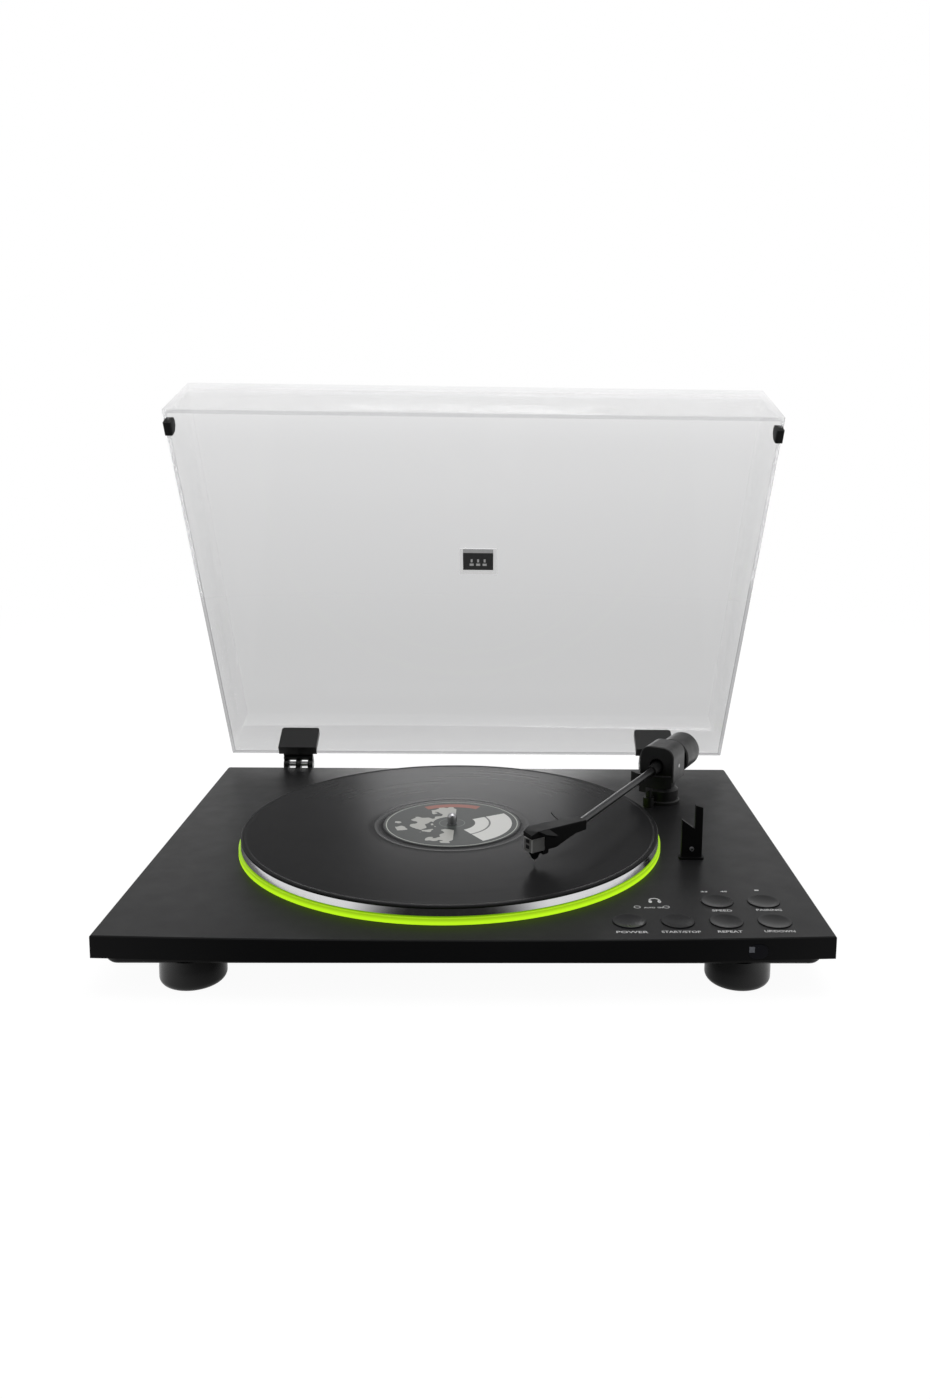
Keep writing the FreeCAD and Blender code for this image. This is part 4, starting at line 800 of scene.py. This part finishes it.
class PLAYER_OT_trim(bpy.types.Operator):
    """The stylus block, the window's painted glint, the lift wire and the arm rest's screw"""

    bl_idname = "player.trim"
    bl_label = "Small trim"

    def execute(self, context):
        self.add_stylus()
        self.add_window_glint()
        self.add_rest_screw()
        self.add_hook()
        return {"FINISHED"}

    def add_stylus(self):
        """A pale block with a painted highlight on its rounded edges, two sockets, its dark foot
        and the needle.
        """
        pale = paper_finish("stylus_block", (0.17, 0.17, 0.165))
        light = ink_finish("stylus_edge_highlight", (0.42, 0.42, 0.41))
        dark = plastic_finish("stylus_foot", (0.4, 0.5), 1500.0, 0.2)
        mesh = mesh_from(self.build_stylus)
        add_piece("stylus_assembly", mesh, (pale, light, dark), "tonearm",
                  ("stylus",), 20.0)

    def build_stylus(self, work):
        # Finish 1 on the rounded edges is a painted highlight
        round_edges(work, edges_of(head_box(work, STYLUS_BLOCK, 0)), 0.55 * MM, 1, finish=1)
        for socket in STYLUS_SOCKETS:
            head_box(work, socket, 2)
        foot = head_box(work, STYLUS_FOOT, 2)
        for vertex in {vertex for face in foot for vertex in face.verts}:
            spot = head_place(vertex.co)
            if spot.z < FOOT_TAPER_LOW * MM:
                spot.x *= 0.45
                spot.y = NEEDLE_AHEAD * MM + (spot.y - NEEDLE_AHEAD * MM) * 0.4
                vertex.co = from_head(spot)
        needle = bmesh.ops.create_cone(work, cap_ends=True, segments=12, radius1=0.12 * MM,
                                       radius2=0.5 * MM, depth=3.2 * MM)
        centre = from_head(Vector((0.0, NEEDLE_AHEAD, NEEDLE_MIDDLE)) * MM)
        bmesh.ops.translate(work, verts=needle["verts"], vec=centre)

    def add_window_glint(self):
        """A pale square with a darker rim on the front window's left half: a painted glint on the
        window.
        """
        finishes = (paper_finish("painted_glint", (0.24, 0.25, 0.28)),
                    ink_finish("painted_glint_rim", (0.05, 0.05, 0.055)))
        add_piece("window_glint", mesh_from(self.build_window_glint), finishes, "housing")

    def build_window_glint(self, work):
        start, end = low("front_window"), high("front_window")
        corner = Vector((start.x + 0.4 * MM, start.y - 0.06 * MM, end.z - 5.1 * MM))
        faces = box(work, corner, corner + Vector((3.6, 0.3, 3.9)) * MM)
        round_edges(work, edges_of(faces), 0.18 * MM, 1, finish=1)

    def add_hook(self):
        """The bent wire on the headshell's right, by which the arm is lifted."""
        points = [from_head(Vector(spot) * MM) for spot in LIFT_WIRE]
        wire = bpy.data.curves.new("hook", "CURVE")
        wire.dimensions = "3D"
        wire.bevel_depth = 0.55 * MM
        wire.bevel_resolution = 4
        wire.use_fill_caps = True
        line = wire.splines.new("NURBS")
        line.points.add(len(points) - 1)
        for control, point in zip(line.points, points):
            control.co = (*point, 1.0)
        line.use_endpoint_u = True
        line.order_u = 4
        mesh = baked(linked("hook", wire))
        bpy.data.curves.remove(wire)
        mesh.materials.clear()
        add_piece("lift_wire", mesh, (satin_finish(),), "tonearm")

    def add_rest_screw(self):
        """A pan head at the foot of the arm rest, with a dark disc painted on its face as the
        shade of its recess.
        """
        finishes = steel_finish(), ink_finish("screw_recess_shade", (0.01, 0.01, 0.01))
        add_piece("rest_screw", mesh_from(self.build_rest_screw), finishes, "housing")

    def build_rest_screw(self, work):
        corner = low("arm_rest")
        spot = Vector((corner.x + half_width("arm_rest") - 0.3 * MM, corner.y - 0.2 * MM,
                       DECK + 8.0 * MM))
        turned_away = Matrix.Rotation(radians(90.0), 3, "X")
        # The second, small disc is in finish 1: painted shade where the head's recess would be
        for radius, start, end, finish in ((1.7, -0.6, 0.5, 0), (0.6, 0.45, 0.56, 1)):
            made = bmesh.ops.create_cone(work, cap_ends=True, segments=32, radius1=radius * MM,
                                         radius2=radius * 0.82 * MM, depth=(end - start) * MM)
            for face in {face for vertex in made["verts"] for face in vertex.link_faces}:
                face.material_index = finish
            for vertex in made["verts"]:
                vertex.co.z += (start + end) / 2 * MM
                vertex.co = spot + turned_away @ vertex.co


def from_head(spot):
    """From the headshell's frame (side, ahead of the bend, above the arm line) to the world."""
    return HEAD_BEND + HEAD_FRAME @ spot


def head_place(point):
    """A world point in the headshell's frame."""
    return HEAD_FRAME.transposed() @ (Vector(point) - HEAD_BEND)


def head_box(work, place_in_head, finish):
    """A box in the headshell's frame: half width, start and end ahead, low and high, in mm."""
    half, start, end, bottom, top = place_in_head
    return box(work, Vector((-half, start, bottom)) * MM, Vector((half, end, top)) * MM,
               finish, from_head)


class PLAYER_OT_cover(bpy.types.Operator):
    """The moulded clear cover, its bumpers and its badge"""

    bl_idname = "player.cover"
    bl_label = "Clear cover"

    def execute(self, context):
        self.add_shell()
        self.add_bumpers()
        self.add_badge()
        return {"FINISHED"}

    def add_badge(self):
        """Plates on the inner face: a pale frame, a dark field, a band and three bars."""
        mesh = mesh_from(self.build_badge, False)
        # The plates glow by emission: painted light, with no lamp behind them
        finishes = (ink_finish("badge_frame", (0.9, 0.9, 0.9), 0.5),
                    ink_finish("badge_field", (0.06, 0.06, 0.061), 0.2),
                    ink_finish("badge_band", (0.4, 0.4, 0.4), 0.5))
        add_piece("cover_badge", mesh, finishes, "lid", ("lid_badge",))

    def build_badge(self, work):
        inner = COVER_TOP[2] - COVER_WALL * MM
        for x, width, start, end, depth, finish in BADGE_PLATES:
            box(work, Vector(((x - width / 2) * MM, FRONT + start * MM, inner + 0.02 * MM)),
                Vector(((x + width / 2) * MM, FRONT + end * MM, inner - depth * MM)),
                finish, lifted)

    def add_shell(self):
        mesh = mesh_from(self.build_shell)
        # The height stops of the tints paint light and shade on the cover
        tinted = clear_finish("clear_cover", tuple(colours().cover), COVER_PAINTED_SHADING)
        clean = clear_finish("clear_inside", (0.995, 0.995, 0.995))
        line = clear_finish("clear_corner", tuple(colours().cover), COVER_PAINTED_SHADING, 0.15)
        rim = clear_finish("clear_rim", (0.78, 0.78, 0.785), (), 0.12)
        # The front's almost clear tint paints the sheen of reflected light on that face
        front = clear_finish("clear_front_painted_sheen", (0.995, 0.995, 0.995), (), 0.3)
        sides = clear_finish("clear_side", (0.845, 0.845, 0.85), COVER_PAINTED_SHADING)
        add_piece("moulded_cover", mesh, (tinted, clean, line, rim, front, sides), "lid",
                  ("lid_top_panel", "lid_front_panel", "lid_rear_panel", "lid_left_panel",
                   "lid_right_panel"), 40.0)

    def build_shell(self, work):
        """An open box with leaning walls: the outer skin, the inner skin and the rim."""
        wall = COVER_WALL * MM
        skins = []
        for inset in (0.0, wall):
            rings = []
            for level, front, rear, height, rear_height in (
                    (0, COVER_RIM[2], COVER_REAR[2], COVER_RIM[3], COVER_REAR[3]),
                    (1, *COVER_TOP[:2], *(COVER_TOP[2] - inset,) * 2)):
                wide, narrow = COVER_RIM[level] - inset, COVER_REAR[level] - inset
                rings.append([(-wide, front + inset, height), (wide, front + inset, height),
                              (narrow, rear - inset, rear_height),
                              (-narrow, rear - inset, rear_height)])
            skins.append([[work.verts.new(lifted(corner)) for corner in ring]
                          for ring in rings])
        for (rim, top), finishes in zip(skins, ((0, 4, 5, 0, 5), (1, 1, 1, 1, 1))):
            sides = [work.faces.new(top)] + join_rings(work, rim, top)
            for face, finish in zip(sides, finishes):
                face.material_index = finish
        for face in join_rings(work, skins[0][0], skins[1][0]):
            face.material_index = 3
        bmesh.ops.recalc_face_normals(work, faces=work.faces)
        outer = [edge for edge in work.edges
                 if any(face.material_index != 1 for face in edge.link_faces)]
        round_edges(work, outer, sizes().cover_edge, finish=2)

    def add_bumpers(self):
        """Soft pads pushed on to the rim near its front corners."""
        add_piece("rim_bumpers", mesh_from(self.build_bumpers), (rubber_finish(),), "lid",
                  ("lid_bumpers",))

    def build_bumpers(self, work):
        for side in (-1, 1):
            edge = COVER_RIM[0] - 0.6 * MM
            rows = []
            for y, reach in BUMPER_ROWS:
                lean = (COVER_RIM[0] - COVER_RIM[1]) / (COVER_TOP[2] - COVER_RIM[3])
                ring = []
                for across, up in ((1.1, -1.1), (1.5, 0.0), (1.5 - lean * reach, reach),
                                   (-3.9 - lean * reach, reach), (-4.3, 0.0), (-3.8, -1.1)):
                    spot = (side * (edge + across * MM), COVER_RIM[2] + y * MM,
                            COVER_RIM[3] + up * MM)
                    ring.append(work.verts.new(lifted(spot)))
                rows.append(ring)
            for first, second in zip(rows, rows[1:]):
                join_rings(work, first, second)
            work.faces.new(rows[0])
            work.faces.new(rows[-1])
        bmesh.ops.recalc_face_normals(work, faces=work.faces)
        round_edges(work, work.edges[:], 0.4 * MM, profile=0.6)


def lifted(point):
    """A point of the closed cover, moved to where the open cover has it."""
    turn = Matrix.Rotation(-COVER_ANGLE, 4, "X")
    return HINGE + turn @ (Vector(point) - HINGE)


class PLAYER_OT_legends(bpy.types.Operator):
    """Printed legends beside the buttons"""

    bl_idname = "player.legends"
    bl_label = "Deck legends"

    def execute(self, context):
        add_piece("deck_legends", mesh_from(self.build_legends, False),
                  (ink_finish("deck_print", tuple(colours().print)),), "housing")
        return {"FINISHED"}

    def build_legends(self, work):
        words = [(*entry, sizes().legend_height, 0.012) for entry in DECK_WORDS]
        words += [(*entry, 1.8 * MM, 0.03) for entry in DECK_SMALL_WORDS]
        for word, left, right, y, cap, weight in words:
            add_word(work, word, (left * MM, right * MM), FRONT + y * MM, cap, weight)
        for x, y in DECK_OVALS:
            add_hoop(work, Vector((x * MM, FRONT + y * MM, DECK)), 2.2 * MM, 2.0 * MM, 0.5 * MM)
        self.add_headphone(work, Vector((118.8 * MM, FRONT + 53.4 * MM, DECK)))

    def add_headphone(self, work, centre):
        """A headband with two ear cups, the general sign for wireless headphones."""
        add_hoop(work, centre, 3.7 * MM, 3.6 * MM, 1.0 * MM, -10.0, 190.0)
        for side in (-1, 1):
            cup = centre + Vector((side * 2.9 * MM, -1.9 * MM, 0.0))
            add_hoop(work, cup, 1.15 * MM, 2.1 * MM, 1.1 * MM)


def add_word(work, word, across, y, height, weight):
    """A printed word on the deck that spans two x values, centred on y."""
    curve = bpy.data.curves.new("word", "FONT")
    curve.body = word
    curve.resolution_u = 3
    curve.offset = weight
    curve.extrude = 0.1
    mesh = baked(linked("word", curve))
    spots = [vertex.co for vertex in mesh.vertices]
    left, right = min(spot.x for spot in spots), max(spot.x for spot in spots)
    bottom, top = min(spot.y for spot in spots), max(spot.y for spot in spots)
    wide = (across[1] - across[0]) / (right - left)
    tall = height / (top - bottom)
    depth = sizes().legend_depth
    for vertex in mesh.vertices:
        vertex.co = (across[0] + (vertex.co.x - left) * wide,
                     y + (vertex.co.y - (bottom + top) / 2) * tall,
                     DECK + depth * (0.5 if vertex.co.z > 0 else -0.5))
    work.from_mesh(mesh)


def add_hoop(work, centre, half_width, half_height, line, start=0.0, end=360.0):
    """A flat printed oval line, or a part of one, on the deck."""
    steps = max(12, int((end - start) / 12))
    closed = end - start >= 360.0
    depth = sizes().legend_depth / 2
    rings = []
    for step in range(steps + (0 if closed else 1)):
        angle = radians(start + (end - start) * step / steps)
        ring = []
        for inset, height in ((0, -depth), (0, depth), (line, depth), (line, -depth)):
            offset = Vector(((half_width - inset) * cos(angle),
                             (half_height - inset) * sin(angle), height))
            ring.append(work.verts.new(centre + offset))
        rings.append(ring)
    pairs = list(zip(rings, rings[1:]))
    if closed:
        pairs.append((rings[-1], rings[0]))
    else:
        work.faces.new(rings[0])
        work.faces.new(rings[-1])
    for first, second in pairs:
        join_rings(work, first, second)


def camera_turn(yaw, pitch, roll):
    """The camera's axes for a heading, a downward tilt and a roll, in degrees."""
    yaw, pitch, roll = (radians(value) for value in (yaw, pitch, roll))
    ahead = Vector((sin(yaw) * cos(pitch), cos(yaw) * cos(pitch),
                    -sin(pitch)))
    right = Vector((cos(yaw), -sin(yaw), 0.0))
    up = right.cross(ahead)
    across = right * cos(roll) + up * sin(roll)
    upright = up * cos(roll) - right * sin(roll)
    return Matrix((across, upright, -ahead)).transposed()


class PLAYER_OT_stage(bpy.types.Operator):
    """Camera, pale floor, world and lamps"""

    bl_idname = "player.stage"
    bl_label = "Stage"

    def execute(self, context):
        self.add_camera()
        self.add_floor()
        self.light_world()
        self.add_lamp("key", (-0.06, 2.0, 0.58), (0.5, 0.3), 6.0)
        self.add_lamp("overhead", (0.2, -0.15, 1.9), (1.2, 1.2), 14.0)
        bpy.context.scene.view_settings.view_transform = "Standard"
        return {"FINISHED"}

    def add_camera(self):
        data = bpy.data.cameras.new("camera")
        data.sensor_fit = "VERTICAL"
        data.sensor_height = CAMERA_SENSOR
        data.lens = CAMERA_SENSOR * CAMERA_LENS
        data.shift_x, data.shift_y = CAMERA_SHIFT
        data.clip_start = 0.01
        data.clip_end = 50.0
        camera = linked("camera", data)
        camera.location = CAMERA_PLACE
        camera.rotation_euler = camera_turn(*CAMERA_TURN).to_euler()
        bpy.context.scene.camera = camera

    def add_floor(self):
        mesh = mesh_from(lambda work: bmesh.ops.create_grid(work, x_segments=1, y_segments=1,
                                                            size=20.0))
        floor = linked("floor", mesh)
        material, tree, shader = principled("floor", (FLOOR_TONE,) * 3, 0.9, 0.0)
        reach = measure(tree, place(tree))
        away = mapped(tree, reach, FLOOR_FADE, kind="SMOOTHSTEP")
        tree.links.new(blend_tones(tree, away, (FLOOR_TONE,) * 3, (0.0,) * 3),
                       shader.inputs["Base Color"])
        light = calc(tree, "MULTIPLY_ADD", away, 1.0 - FLOOR_LIGHT, FLOOR_LIGHT)
        heading = calc(tree, "DIVIDE", axes(tree, place(tree))["Y"], reach)
        glossy, direct = ray_kinds(tree)
        gloss = calc(tree, "MULTIPLY", glossy, room_share(tree, heading, ROOM_DARK, 1.0))
        seen = calc(tree, "MULTIPLY", calc(tree, "MAXIMUM", direct, gloss), light)
        glow = node(tree, "ShaderNodeEmission", {"Strength": seen})
        both = node(tree, "ShaderNodeAddShader",
                    {0: shader.outputs["BSDF"], 1: glow.outputs["Emission"]})
        finish_with(tree, both.outputs["Shader"])
        material.cycles.emission_sampling = "NONE"
        mesh.materials.append(material)

    def light_world(self):
        """A white studio that is darker towards the front, where the room is unlit."""
        world = bpy.data.worlds.new("studio")
        bpy.context.scene.world = world
        world.use_nodes = True
        tree = world.node_tree
        glossy, direct = ray_kinds(tree)
        heading = axes(tree, node(tree, "ShaderNodeTexCoord").outputs["Generated"])["Y"]
        room = room_share(tree, heading, ROOM_DARK - ROOM_FILL, 1.0 - ROOM_FILL)
        strength = calc(tree, "MAXIMUM", calc(tree, "MULTIPLY_ADD", glossy, room, ROOM_FILL),
                        direct)
        background = tree.nodes["Background"]
        background.inputs["Color"].default_value = (1.0, 1.0, 1.0, 1.0)
        tree.links.new(strength, background.inputs["Strength"])

    def add_lamp(self, name, spot, size, power):
        data = bpy.data.lights.new(name, "AREA")
        data.shape = "RECTANGLE"
        data.size, data.size_y = size
        data.energy = power
        lamp = linked(name, data)
        lamp.location = spot
        aim = Vector(LAMP_TARGET) - Vector(spot)
        lamp.rotation_euler = aim.to_track_quat("-Z", "Y").to_euler()
        lamp.visible_camera = False
        lamp.visible_transmission = False


def room_share(tree, heading, dark, lit):
    """How light the studio is in a heading: its front, at -1, is unlit."""
    return mapped(tree, heading, ROOM_TURN, (dark, lit), "SMOOTHSTEP")


def ray_kinds(tree):
    """Whether a ray is a reflection, and whether it is seen straight or through the cover."""
    path = node(tree, "ShaderNodeLightPath").outputs
    return path["Is Glossy Ray"], calc(tree, "MAXIMUM", path["Is Camera Ray"],
                                       path["Is Transmission Ray"])


class PLAYER_PT_panel(bpy.types.Panel):
    """Lists the steps in the sidebar"""

    bl_idname = "PLAYER_PT_panel"
    bl_label = "Record player"
    bl_space_type = "VIEW_3D"
    bl_region_type = "UI"
    bl_category = "Record player"

    def draw(self, context):
        for step in STEPS:
            self.layout.operator(step.bl_idname)
        for group in (context.scene.player_sizes, context.scene.player_colours):
            for key in group.__annotations__:
                self.layout.prop(group, key)


STEPS = (PLAYER_OT_finishes, PLAYER_OT_record, PLAYER_OT_trim, PLAYER_OT_cover,
         PLAYER_OT_legends, PLAYER_OT_stage)
CLASSES = (PlayerSizes, PlayerColours, *STEPS, PLAYER_PT_panel)


def register():
    for item in CLASSES:
        bpy.utils.register_class(item)
    bpy.types.Scene.player_sizes = bpy.props.PointerProperty(type=PlayerSizes)
    bpy.types.Scene.player_colours = bpy.props.PointerProperty(type=PlayerColours)


def unregister():
    del bpy.types.Scene.player_colours
    del bpy.types.Scene.player_sizes
    for item in reversed(CLASSES):
        bpy.utils.unregister_class(item)


def main():
    register()
    for step in STEPS:
        group, name = step.bl_idname.split(".")
        getattr(getattr(bpy.ops, group), name)()


if __name__ == "__main__":
    main()
